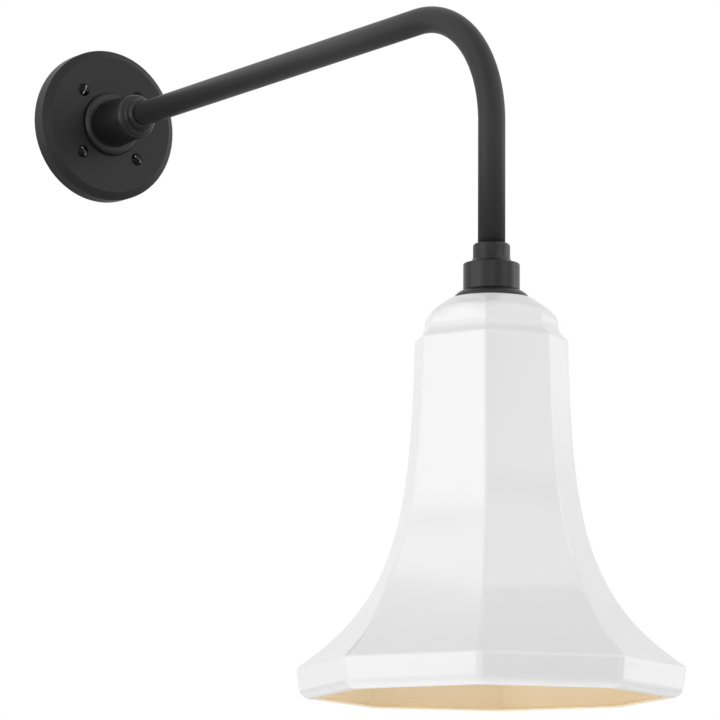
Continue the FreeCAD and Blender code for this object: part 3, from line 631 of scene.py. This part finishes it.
@dataclass
class Cup(SubAssembly):
    """Turned cup under the arm, and the domed ring that caps the shade's neck."""

    tube_bore: float = TUBE_BORE
    top: float = 219.3
    collar_radius: float = 16.1
    collar_round: float = 2.6
    collar_end: float = 231.8
    cove_radius: float = 17.6
    cove_end: float = 235.6
    cove_round: float = 5.0
    radius: float = 24.5
    shoulder: float = 237.2
    shoulder_round: float = 1.2
    rim: float = 260.6
    rim_round: float = 0.5
    cavity_radius: float = 21.2
    cavity_top: float = 239.0
    cavity_round: float = 2.5
    rod_bore: float = 5.03
    tube_end: float = TUBE_END
    ring_radius: float = 32.4
    ring_end: float = 267.3
    ring_lip: float = 1.0
    ring_bore: float = 20.0
    ring_crown: Corner = Corner(29.6, 262.5, 14.0)

    def build(self) -> None:
        """Make the cup and the domed ring."""
        cup = ring_body([
            Corner(self.tube_bore, self.top), Corner(self.collar_radius, self.top, self.collar_round),
            Corner(self.collar_radius, self.collar_end),
            Corner(self.cove_radius, self.cove_end, self.cove_round),
            Corner(self.radius, self.shoulder, self.shoulder_round),
            Corner(self.radius, self.rim, self.rim_round), Corner(self.cavity_radius, self.rim),
            Corner(self.cavity_radius, self.cavity_top, self.cavity_round),
            Corner(self.rod_bore, self.cavity_top), Corner(self.rod_bore, self.tube_end),
            Corner(self.tube_bore, self.tube_end)], Axis.LAMP)
        ring = ring_body([
            Corner(self.radius, self.rim), self.ring_crown,
            Corner(self.ring_radius, self.ring_end - self.ring_lip),
            Corner(self.ring_radius, self.ring_end), Corner(self.ring_bore, self.ring_end),
            Corner(self.ring_bore, self.rim)], Axis.LAMP)
        # The cup and ring take the darker copy of the coat: painted shade
        self.add("coved_cup", cup, "matte_black", "socket_cup", finish="painted_shade_cast_black")
        self.add("domed_ring", ring, "matte_black", "shade_holder", finish="painted_shade_cast_black")


@dataclass
class PlateScrews(SubAssembly):
    """Four slotted round-head screws round the wall plate's face."""

    circle: float = 88.9
    seat: float = PLATE_FACE
    shank_radius: float = 3.0
    shank_end: float = 0.4
    head_radius: float = 6.4
    head_height: float = 3.4
    slot_width: float = 1.3
    slot_depth: float = 1.5
    slot_turns: tuple[float, ...] = (20.0, 65.0, 118.0, 141.0)
    segments: int = 64
    dome_steps: int = 10

    def head_outline(self) -> list[Vector]:
        """Draw half of a screw's section.

        Returns:
            Points from the shank's end, out under the head and over its dome to the middle.
        """
        ball = (self.head_radius ** 2 + self.head_height ** 2) / (2 * self.head_height)
        spread = math.asin(self.head_radius / ball)
        dome = []
        for step in range(self.dome_steps + 1):
            angle = spread * (1 - step / self.dome_steps)
            dome.append(Vector((ball * math.sin(angle), self.head_height - ball * (1 - math.cos(angle)))))
        end = self.shank_end - self.seat
        return [Vector((0, end)), Vector((self.shank_radius, end)), Vector((self.shank_radius, 0))] + dome

    def screw(self, turn: float, place: Vector) -> bmesh.types.BMesh:
        """Make one screw with its slot sunk into the head.

        Args:
            turn: Angle at which the slot stopped, in degrees.
            place: Where the head seats, as a point on the plate's face.

        Returns:
            The screw's mesh.
        """
        mesh = bmesh.new()
        line = draw_line(mesh, [Vector((point.x, 0, point.y)) for point in self.head_outline()])
        edges = {edge for vert in line for edge in vert.link_edges}
        bmesh.ops.spin(mesh, geom=line + list(edges), cent=(0, 0, 0), axis=(0, 0, 1), dvec=(0, 0, 0),
                       angle=FULL_TURN, steps=self.segments, use_merge=True, use_duplicate=False)
        bmesh.ops.remove_doubles(mesh, verts=mesh.verts, dist=MERGE)
        floor = self.head_height - self.slot_depth
        cuts = [(Vector((0, side * self.slot_width / 2, 0)), Vector((0, 1, 0))) for side in (-1, 1)]
        for point, across in cuts + [(Vector((0, 0, floor)), Vector((0, 0, 1)))]:
            geometry = list(mesh.verts) + list(mesh.edges) + list(mesh.faces)
            bmesh.ops.bisect_plane(mesh, geom=geometry, dist=MERGE, plane_co=point, plane_no=across)
        strip = [face for face in mesh.faces if abs(face.calc_center_median().y) < self.slot_width / 2
                 and face.calc_center_median().z > floor]
        sunk = bmesh.ops.extrude_face_region(mesh, geom=strip)["geom"]
        bottom = [item for item in sunk if isinstance(item, bmesh.types.BMVert)]
        bmesh.ops.delete(mesh, geom=strip, context="FACES_ONLY")
        bmesh.ops.scale(mesh, vec=(1, 1, 0), space=Matrix.Translation((0, 0, -floor)), verts=bottom)
        bmesh.ops.remove_doubles(mesh, verts=mesh.verts, dist=MERGE)
        bmesh.ops.recalc_face_normals(mesh, faces=mesh.faces)
        for face in mesh.faces:
            middle = face.calc_center_median()
            in_slot = abs(middle.y) < self.slot_width / 2 + MERGE and middle.z > floor - MERGE
            face.material_index = int(in_slot)
        stand = Matrix.Translation(place) @ Matrix.Rotation(math.pi / 2, 4, "X") @ Matrix.Rotation(
            math.radians(turn), 4, "Z")
        bmesh.ops.transform(mesh, matrix=stand, verts=mesh.verts)
        return mesh

    def build(self) -> None:
        """Make the four screws as one piece."""
        group = bmesh.new()
        count = len(self.slot_turns)
        for index, turn in enumerate(self.slot_turns):
            angle = FULL_TURN / count * (index + 0.5)
            across = Vector((math.cos(angle), 0, math.sin(angle))) * self.circle / 2
            single = self.screw(turn, across - Vector((0, self.seat, 0)))
            data = bpy.data.meshes.new("one_screw")
            single.to_mesh(data)
            single.free()
            group.from_mesh(data)
            bpy.data.meshes.remove(data)
        piece = self.add("slotted_screws", group, "gloss_black", "plate_screws")
        piece.data.materials.append(self.palette.get("worn_slot"))


@dataclass
class Shade(SubAssembly):
    """Pressed eight-sided bell: domed crown, cove, long flare and a turned-in rim.

    Radii are those of the octagon's corners, drops count down from the arm, and angles are in degrees.
    """

    sides: int = 8
    clocking: float = 5.2
    wall: float = 2.0
    edge_round_share: float = 0.065
    edge_steps: int = 5
    side_cuts: int = 7
    long_edge_share: float = 0.3
    # Crown: a round neck and dome, which turn eight-sided between the circle's and the facets' drops
    top_drop: float = 268.1
    neck_radius: float = 20.4
    crown_radius: float = 38.0
    crown_round: float = 7.0
    facet_drop: float = 289.0
    circle_drop: float = 274.0
    dome_radius: float = 58.0
    dome_drop: float = 281.9
    dome_round: float = 16.0
    cove_radius: float = 58.0
    cove_drop: float = 296.8
    cove_round: float = 14.0
    shoulder_drop: float = 305.0
    shoulder_round: float = 2.2
    # Flare: a throat and an exponential growth from it
    throat_radius: float = 65.3
    flare_growth: float = 87.1
    flare_length: float = 64.0
    flare_start: float = 313.0
    flare_end: float = 575.3
    flare_steps: int = 48
    # Rim: a shoulder, a short wall that tapers in, and a lip under it
    rim_corner_drop: float = 586.0
    rim_corner_round: float = 4.0
    rim_taper: float = 3.8
    rim_foot_drop: float = 612.0
    rim_foot_round: float = 9.5
    lip_width: float = 9.8
    lip_round: float = 0.45
    lip_steps: int = 3
    # Seams: how far each of four neighbours leans from an even octagon, and where the lean eases in
    seam_leans: tuple[float, ...] = (-13.0, 0.0, 7.0, 0.0)
    seam_lean_end: float = 578.0
    seam_lean_full: float = 508.0
    rim_lean_share: float = -0.15
    rim_lean_start: float = 568.0
    rim_lean_full: float = 590.0
    throat_twist: float = -1.2
    throat_twist_end: float = 480.0

    @property
    def flat_share(self) -> float:
        """Distance of a side's middle from the axis, as a share of a corner's."""
        return math.cos(math.pi / self.sides)

    def flare_radius(self, drop: float) -> float:
        """Corner radius of the flare at a drop below the arm."""
        return self.throat_radius + self.flare_growth * math.exp((drop - self.flare_end) / self.flare_length)

    def flare_slope(self, drop: float) -> float:
        """Growth of the flare's corner radius for each unit of drop."""
        return self.flare_growth / self.flare_length * math.exp((drop - self.flare_end) / self.flare_length)

    def outline(self) -> list[Vector]:
        """Points down the middle of a side, as distance from the axis and drop.

        Returns:
            The outline from the crown to the lip.
        """
        start_radius = self.flare_radius(self.flare_start)
        shoulder_radius = start_radius - self.flare_slope(self.flare_start) * (
            self.flare_start - self.shoulder_drop)
        end_radius = self.flare_radius(self.flare_end)
        corner_radius = end_radius + self.flare_slope(self.flare_end) * (
            self.rim_corner_drop - self.flare_end)
        foot_radius = corner_radius - self.rim_taper
        crown = [Corner(self.crown_radius - self.crown_round, self.top_drop),
                 Corner(self.crown_radius, self.top_drop, self.crown_round),
                 Corner(self.dome_radius, self.dome_drop, self.dome_round),
                 Corner(self.cove_radius, self.cove_drop, self.cove_round),
                 Corner(shoulder_radius, self.shoulder_drop, self.shoulder_round),
                 Corner(start_radius, self.flare_start)]
        rim = [Corner(end_radius, self.flare_end),
               Corner(corner_radius, self.rim_corner_drop, self.rim_corner_round),
               Corner(foot_radius, self.rim_foot_drop, self.rim_foot_round),
               Corner(foot_radius - self.lip_width, self.rim_foot_drop)]
        step = (self.flare_end - self.flare_start) / self.flare_steps
        drops = [self.flare_start + index * step for index in range(1, self.flare_steps)]
        flare = [Vector((self.flare_radius(drop) * self.flat_share, drop)) for drop in drops]
        crown, rim = [[Corner(corner.radius * self.flat_share, corner.along, corner.rounding)
                       for corner in run] for run in (crown, rim)]
        return rounded_run(crown) + flare + rounded_run(rim)

    def first_ring(self, mesh: bmesh.types.BMesh, radius: float) -> list[bmesh.types.BMEdge]:
        """Draw the octagon at the crown's edge, with its corners rounded.

        Args:
            mesh: Empty mesh of the shade.
            radius: Corner radius of the octagon.

        Returns:
            The edges of the closed ring.
        """
        turn = Matrix.Rotation(math.radians(self.clocking), 4, "Z")
        circle = bmesh.ops.create_circle(mesh, cap_ends=True, segments=self.sides, radius=radius,
                                         matrix=turn)
        reach = radius * self.edge_round_share * math.tan(math.pi / self.sides)
        bmesh.ops.bevel(mesh, geom=circle["verts"], affect="VERTICES", offset=reach,
                        segments=self.edge_steps, profile=0.5, material=-1)
        bmesh.ops.delete(mesh, geom=list(mesh.faces), context="FACES_KEEP_BOUNDARY")
        return list(mesh.edges)

    def lean_seams(self, corners: list[bmesh.types.BMVert], drop: float) -> None:
        """Move a ring's seams as the photo shows them: near sides wider above the rim, narrower on it.

        Args:
            corners: The ring's vertices, round the Z axis.
            drop: The ring's drop below the arm.
        """
        step = FULL_TURN / self.sides
        lean_share = ease(drop, self.seam_lean_end, self.seam_lean_full)
        lean_share += self.rim_lean_share * ease(drop, self.rim_lean_start, self.rim_lean_full)
        twist = self.throat_twist * ease(drop, self.throat_twist_end, self.flare_start)
        for corner in corners:
            angle = math.atan2(corner.co.y, corner.co.x) - math.radians(self.clocking)
            seam = round(angle / step) % len(self.seam_leans)
            turn = twist + lean_share * self.seam_leans[seam]
            corner.co.xy = Matrix.Rotation(math.radians(turn), 2) @ corner.co.xy

    def round_crown(self, corners: list[bmesh.types.BMVert], place: Vector) -> None:
        """Ease a ring of the crown from the octagon towards a circle, fully so at the top.

        Args:
            corners: The ring's vertices, round the Z axis.
            place: The ring's distance to a side's middle and its drop.
        """
        share = ease(place.y, self.facet_drop, self.circle_drop)
        round_radius = place.x * (1 + 1 / self.flat_share) / 2
        for corner in corners:
            corner.co.xy = corner.co.xy.lerp(corner.co.xy.normalized() * round_radius, share)

    def draw_sides(self, mesh: bmesh.types.BMesh, outline: list[Vector]) -> None:
        """Extrude the octagon's ring down the outline, then move the seams.

        Args:
            mesh: Empty mesh of the shade.
            outline: Points down the middle of a side.
        """
        ring = self.first_ring(mesh, outline[0].x / self.flat_share)
        rings = [list(mesh.verts)]
        for above, below in zip(outline, outline[1:]):
            grown = bmesh.ops.extrude_edge_only(mesh, edges=ring)["geom"]
            corners = [item for item in grown if isinstance(item, bmesh.types.BMVert)]
            ring = [item for item in grown if isinstance(item, bmesh.types.BMEdge)]
            scale = below.x / above.x
            bmesh.ops.scale(mesh, vec=(scale, scale, 1), verts=corners)
            bmesh.ops.translate(mesh, vec=(0, 0, above.y - below.y), verts=corners)
            rings.append(corners)
        for corners, place in zip(rings, outline):
            self.lean_seams(corners, place.y)

    def shape_crown(self, mesh: bmesh.types.BMesh, outline: list[Vector]) -> None:
        """Divide each side across its width, so that the crown can turn round, and round it.

        Args:
            mesh: Mesh of the shade's sides.
            outline: Points down the middle of a side.
        """
        across = [edge for edge in mesh.edges if abs(edge.verts[0].co.z - edge.verts[1].co.z) < MERGE
                  and edge.calc_length() > outline[0].x * self.long_edge_share]
        bmesh.ops.subdivide_edges(mesh, edges=across, cuts=self.side_cuts, use_grid_fill=True)
        for place in outline:
            height = self.top_drop - place.y
            self.round_crown([vert for vert in mesh.verts if abs(vert.co.z - height) < MERGE], place)
        bmesh.ops.remove_doubles(mesh, verts=mesh.verts, dist=MERGE)

    def shell(self) -> bmesh.types.BMesh:
        """Draw the outer face of the shade, from the neck's opening down to the lip.

        Returns:
            The open shell, in millimetres.
        """
        mesh = bmesh.new()
        outline = self.outline()
        self.draw_sides(mesh, outline)
        self.shape_crown(mesh, outline)
        top_ring = [edge for edge in mesh.edges if edge.is_boundary
                    and max(abs(vert.co.z) for vert in edge.verts) < MERGE]
        grown = bmesh.ops.extrude_edge_only(mesh, edges=top_ring)["geom"]
        for corner in [item for item in grown if isinstance(item, bmesh.types.BMVert)]:
            corner.co.xy = corner.co.xy.normalized() * self.neck_radius
        bmesh.ops.translate(mesh, vec=Axis.LAMP.place(0, self.top_drop), verts=mesh.verts)
        bmesh.ops.recalc_face_normals(mesh, faces=mesh.faces)
        # The outermost face tells whether the open shell came out the right way round
        rim_face = max(mesh.faces, key=lambda face: face.calc_center_median().x)
        if rim_face.normal.x < 0:
            bmesh.ops.reverse_faces(mesh, faces=mesh.faces)
        return mesh

    def build(self) -> None:
        """Make the shade with its wall, white outside and cream inside."""
        piece = self.add("enamel_shade", self.shell(), "enamel_white", "shade")
        piece.data.materials.append(self.palette.get("enamel_cream"))
        thicken(piece, self.wall, inner_material=True)
        edge = piece.modifiers.new("lip_edges", "BEVEL")
        edge.width = self.lip_round * MM
        edge.segments = self.lip_steps
        edge.limit_method = "ANGLE"
        edge.angle_limit = LIP_ANGLE
        piece.modifiers.new("flat_sides", "WEIGHTED_NORMAL")


@dataclass
class ThreadedSleeve:
    """Rolled screw thread in thin sheet, as on a lamp's cap and in its socket."""

    root_radius: float
    crest_radius: float
    start: float
    turns: int
    wave_steps: int = 12

    def spin(self, mesh: bmesh.types.BMesh) -> None:
        """Spin one wave of the sheet down a helix.

        Args:
            mesh: Mesh that takes the thread.
        """
        middle = (self.root_radius + self.crest_radius) / 2
        height = (self.crest_radius - self.root_radius) / 2
        wave = []
        for step in range(self.wave_steps + 1):
            share = step / self.wave_steps
            wave.append(Axis.LAMP.place(middle - height * math.cos(FULL_TURN * share),
                                        self.start + THREAD_PITCH * share))
        spin_line(mesh, draw_line(mesh, wave), Axis.LAMP, THREAD_SEGMENTS, self.turns, THREAD_PITCH)


@dataclass
class Lamp(SubAssembly):
    """Frosted lamp on a rolled screw cap, and the socket shell that it screws into."""

    cap_top: float = 269.5
    cap_round: float = 1.0
    thread_start: float = 271.4
    thread_turns: int = 4
    cap_root: float = 12.35
    cap_radius: float = 13.1
    cap_inset: float = 1.2
    skirt_start: float = 289.0
    glass_start: float = 294.0
    cap_wall: float = 0.5
    glass_neck_radius: float = 13.6
    glass_neck_end: float = 303.0
    glass_neck_round: float = 16.0
    glass_radius: float = 30.0
    glass_swell: float = 333.0
    glass_swell_round: float = 38.0
    glass_end: float = 374.0
    glass_end_round: float = 29.9
    glass_arc_steps: int = 16
    glass_wall: float = 1.2
    shell_radius: float = 14.0
    shell_root: float = 13.4
    shell_top: float = 262.0
    shell_lip_radius: float = 9.0
    shell_thread_start: float = 264.5
    shell_thread_turns: int = 5
    sheet: float = 0.25

    def cap(self) -> bmesh.types.BMesh:
        """Draw the lamp's cap: a rounded top, the thread and a plain skirt.

        Returns:
            The cap's outer face.
        """
        root = self.cap_radius - self.cap_inset
        thread_top = self.thread_start + THREAD_PITCH / 2
        mesh = turned_mesh(rounded_run([
            Corner(0, self.cap_top), Corner(self.cap_root, self.cap_top, self.cap_round),
            Corner(self.cap_root, thread_top), Corner(root, thread_top), Corner(root, self.skirt_start),
            Corner(self.cap_radius, self.skirt_start + self.cap_round),
            Corner(self.cap_radius, self.glass_start),
            Corner(self.cap_radius - self.cap_wall, self.glass_start),
            Corner(self.cap_radius - self.cap_wall, self.skirt_start)]), Axis.LAMP, THREAD_SEGMENTS)
        ThreadedSleeve(self.cap_root, self.cap_radius, self.thread_start, self.thread_turns).spin(mesh)
        bmesh.ops.recalc_face_normals(mesh, faces=mesh.faces)
        return mesh

    def shell(self) -> bmesh.types.BMesh:
        """Draw the socket's shell: a lip on the floor, a plain band and the thread.

        Returns:
            The shell's outer face.
        """
        mesh = turned_mesh([
            Vector((self.shell_lip_radius, self.shell_top)), Vector((self.shell_radius, self.shell_top)),
            Vector((self.shell_radius, self.shell_thread_start + THREAD_PITCH / 2))],
            Axis.LAMP, THREAD_SEGMENTS)
        ThreadedSleeve(self.shell_root + self.sheet, self.shell_radius, self.shell_thread_start,
                       self.shell_thread_turns).spin(mesh)
        bmesh.ops.recalc_face_normals(mesh, faces=mesh.faces)
        return mesh

    def build(self) -> None:
        """Make the lamp's glass and cap, and the socket's shell."""
        glass = turned_mesh(rounded_run([
            Corner(self.glass_neck_radius, self.glass_start),
            Corner(self.glass_neck_radius, self.glass_neck_end, self.glass_neck_round),
            Corner(self.glass_radius, self.glass_swell, self.glass_swell_round),
            Corner(self.glass_radius, self.glass_end, self.glass_end_round),
            Corner(0, self.glass_end)], self.glass_arc_steps), Axis.LAMP)
        bulb = self.add("frosted_lamp", glass, "frosted_glass", "lamp_glass", body=Body.LAMP)
        thicken(bulb, self.glass_wall)
        cap = self.add("threaded_cap", self.cap(), "lamp_metal", "lamp_cap", body=Body.LAMP)
        thicken(cap, self.sheet)
        shell = self.add("threaded_shell", self.shell(), "brass", "screw_shell")
        thicken(shell, self.sheet)


@dataclass
class Dressing(SubAssembly):
    """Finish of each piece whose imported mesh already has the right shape."""

    def dress(self, record: dict) -> None:
        """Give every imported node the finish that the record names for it.

        Args:
            record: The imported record.
        """
        slots = {part["node"]: part["material_slot"] for part in record["subparts"]}
        for name, node in frame["nodes"].items():
            if node.hide_render:
                continue
            node.data.materials.clear()
            node.data.materials.append(self.palette.get(slots[name]))
            log.info("%s: %s", name, slots[name])


@dataclass(frozen=True)
class Softbox:
    """A soft light that faces the fitting.

    Its direction, width and height are in degrees as seen from the fitting, and its distance is in
    metres. A light that isn't mirrored gives its light without a gleam of its own in gloss.
    """

    name: str
    side: float
    height: float
    wide: float
    tall: float
    radiance: float
    distance: float = 3.0
    mirrored: bool = True


@dataclass
class Studio:
    """Camera, soft lights, white surroundings and a pale floor.

    The camera's place, turn, tilt, lens and shifted frame were fitted to the photo's edges. The lights
    are placed round a front direction of their own, which lies near the camera's.
    """

    view_turn: float = math.radians(-37.2161)
    view_tilt: float = math.radians(8.9284)
    camera_place: Vector = field(default_factory=lambda: Vector((-1.990568, -3.332413, -0.859245)))
    lens: float = 196.1988
    shift: tuple[float, float] = (-0.23370, 0.02356)
    sensor_width: float = 36.0
    sight: float = 100.0
    front_turn: float = math.radians(-34.7889)
    ambient: float = 0.277
    floor_height: float = -1.3
    floor_size: float = 14.0
    floor_colour: str = "#f2f2f2"
    floor_roughness: float = 0.9
    floor_white: float = 0.8
    aim: Vector = field(default_factory=lambda: Vector((0, -0.6, -0.4)))
    lights: tuple[Softbox, ...] = (
        Softbox("left", -80.0, 0.0, 26.0, 46.0, 1.5),
        Softbox("front_left", -54.0, 4.0, 26.0, 42.0, 2.05),
        Softbox("middle_left", -28.0, 4.0, 26.0, 42.0, 0.49),
        Softbox("front", 0.0, 4.0, 24.0, 42.0, 1.02),
        Softbox("front_right", 54.0, 0.0, 26.0, 40.0, 1.31),
        Softbox("upper_right", 54.0, 40.0, 30.0, 34.0, 1.2),
        Softbox("upper_left", -60.0, 45.0, 34.0, 34.0, 1.03),
        Softbox("right_side", 94.0, 24.0, 14.0, 70.0, 1.2),
        Softbox("right_edge", 106.0, 0.0, 8.0, 60.0, 3.5),
        Softbox("back_right", 126.0, 0.0, 12.0, 50.0, 0.74),
        Softbox("below", 0.0, -89.0, 30.0, 30.0, 3.0, 0.6, mirrored=False),
    )

    def place_camera(self) -> None:
        """Stand the camera where the photograph was taken from."""
        data = bpy.data.cameras.new("camera")
        data.sensor_width = self.sensor_width
        data.lens = self.lens
        data.shift_x, data.shift_y = self.shift
        data.clip_end = self.sight
        camera = bpy.data.objects.new("camera", data)
        camera.location = self.camera_place
        camera.rotation_euler = (math.pi / 2 + self.view_tilt, 0, self.view_turn)
        bpy.context.scene.collection.objects.link(camera)
        bpy.context.scene.camera = camera

    def hang_light(self, softbox: Softbox) -> None:
        """Hang one soft light, with its side counted from the front to the right.

        Args:
            softbox: The light's place, size and strength.
        """
        data = bpy.data.lights.new(softbox.name, "AREA")
        data.shape = "RECTANGLE"
        data.size = 2 * softbox.distance * math.tan(math.radians(softbox.wide / 2))
        data.size_y = 2 * softbox.distance * math.tan(math.radians(softbox.tall / 2))
        data.energy = softbox.radiance * math.pi * data.size * data.size_y
        light = bpy.data.objects.new(softbox.name, data)
        turn = self.front_turn + math.radians(softbox.side)
        rise = math.radians(softbox.height)
        back = Vector((math.sin(turn) * math.cos(rise), -math.cos(turn) * math.cos(rise), math.sin(rise)))
        light.location = self.aim + back * softbox.distance
        light.visible_camera = False
        light.visible_glossy = softbox.mirrored
        light.rotation_mode = "QUATERNION"
        light.rotation_quaternion = (-back).to_track_quat("-Z", "Y")
        bpy.context.scene.collection.objects.link(light)

    def light_world(self) -> None:
        """Surround the light with white as the eye, gloss and glass see it, and an even soft light."""
        world = bpy.data.worlds.new("studio")
        world.use_nodes = True
        tree = world.node_tree
        background = tree.nodes["Background"]
        path = add_node(tree, "ShaderNodeLightPath")
        camera_or_gloss = add_node(tree, "ShaderNodeMath", {"operation": "MAXIMUM"}, {
            0: path.outputs["Is Camera Ray"], 1: path.outputs["Is Glossy Ray"]})
        seen = add_node(tree, "ShaderNodeMath", {"operation": "MAXIMUM"}, {
            0: camera_or_gloss.outputs[0], 1: path.outputs["Is Transmission Ray"]})
        strength = add_node(tree, "ShaderNodeMapRange", inputs={
            "Value": seen.outputs[0], "To Min": self.ambient, "To Max": 1.0})
        background.inputs["Color"].default_value = (1, 1, 1, 1)
        tree.links.new(strength.outputs["Result"], background.inputs["Strength"])
        bpy.context.scene.world = world

    def floor_material(self) -> bpy.types.Material:
        """Make a matt pale floor that looks nearly white and is clear from underneath.

        Returns:
            The floor's material.
        """
        material = bpy.data.materials.new("pale_floor")
        material.use_nodes = True
        tree = material.node_tree
        shader = tree.nodes["Principled BSDF"]
        shader.inputs["Base Color"].default_value = linear(self.floor_colour)
        shader.inputs["Roughness"].default_value = self.floor_roughness
        path = add_node(tree, "ShaderNodeLightPath")
        share = add_node(tree, "ShaderNodeMath", {"operation": "MULTIPLY"}, {
            0: path.outputs["Is Camera Ray"], 1: self.floor_white})
        white = add_node(tree, "ShaderNodeEmission", inputs={"Color": (1, 1, 1, 1)})
        paled = add_node(tree, "ShaderNodeMixShader", inputs={
            0: share.outputs[0], 1: shader.outputs["BSDF"], 2: white.outputs["Emission"]})
        side = add_node(tree, "ShaderNodeNewGeometry")
        clear = add_node(tree, "ShaderNodeBsdfTransparent")
        mix = add_node(tree, "ShaderNodeMixShader", inputs={
            0: side.outputs["Backfacing"], 1: paled.outputs["Shader"], 2: clear.outputs["BSDF"]})
        tree.links.new(mix.outputs["Shader"], tree.nodes["Material Output"].inputs["Surface"])
        return material

    def lay_floor(self) -> None:
        """Lay the floor well below the fitting."""
        mesh = bmesh.new()
        bmesh.ops.create_grid(mesh, x_segments=1, y_segments=1, size=self.floor_size / 2,
                              matrix=Matrix.Translation(Vector((0, self.aim.y, self.floor_height))))
        data = bpy.data.meshes.new("floor")
        mesh.to_mesh(data)
        mesh.free()
        data.materials.append(self.floor_material())
        floor = bpy.data.objects.new("floor", data)
        bpy.context.scene.collection.objects.link(floor)

    def build(self) -> None:
        """Set up everything round the fitting."""
        bpy.context.scene.view_settings.view_transform = "Standard"
        self.place_camera()
        self.light_world()
        self.lay_floor()
        for softbox in self.lights:
            self.hang_light(softbox)


def main() -> None:
    """Build the fitting round its frame and light it."""
    logging.basicConfig(level=logging.INFO, format="%(message)s")
    palette = Palette()
    Studio().build()
    for sub_assembly in (Hub, PlateScrews, Arm, Cup, Shade, Lamp):
        sub_assembly(palette).build()
    Dressing(palette).dress(frame["record"])


if __name__ == "__main__":
    main()
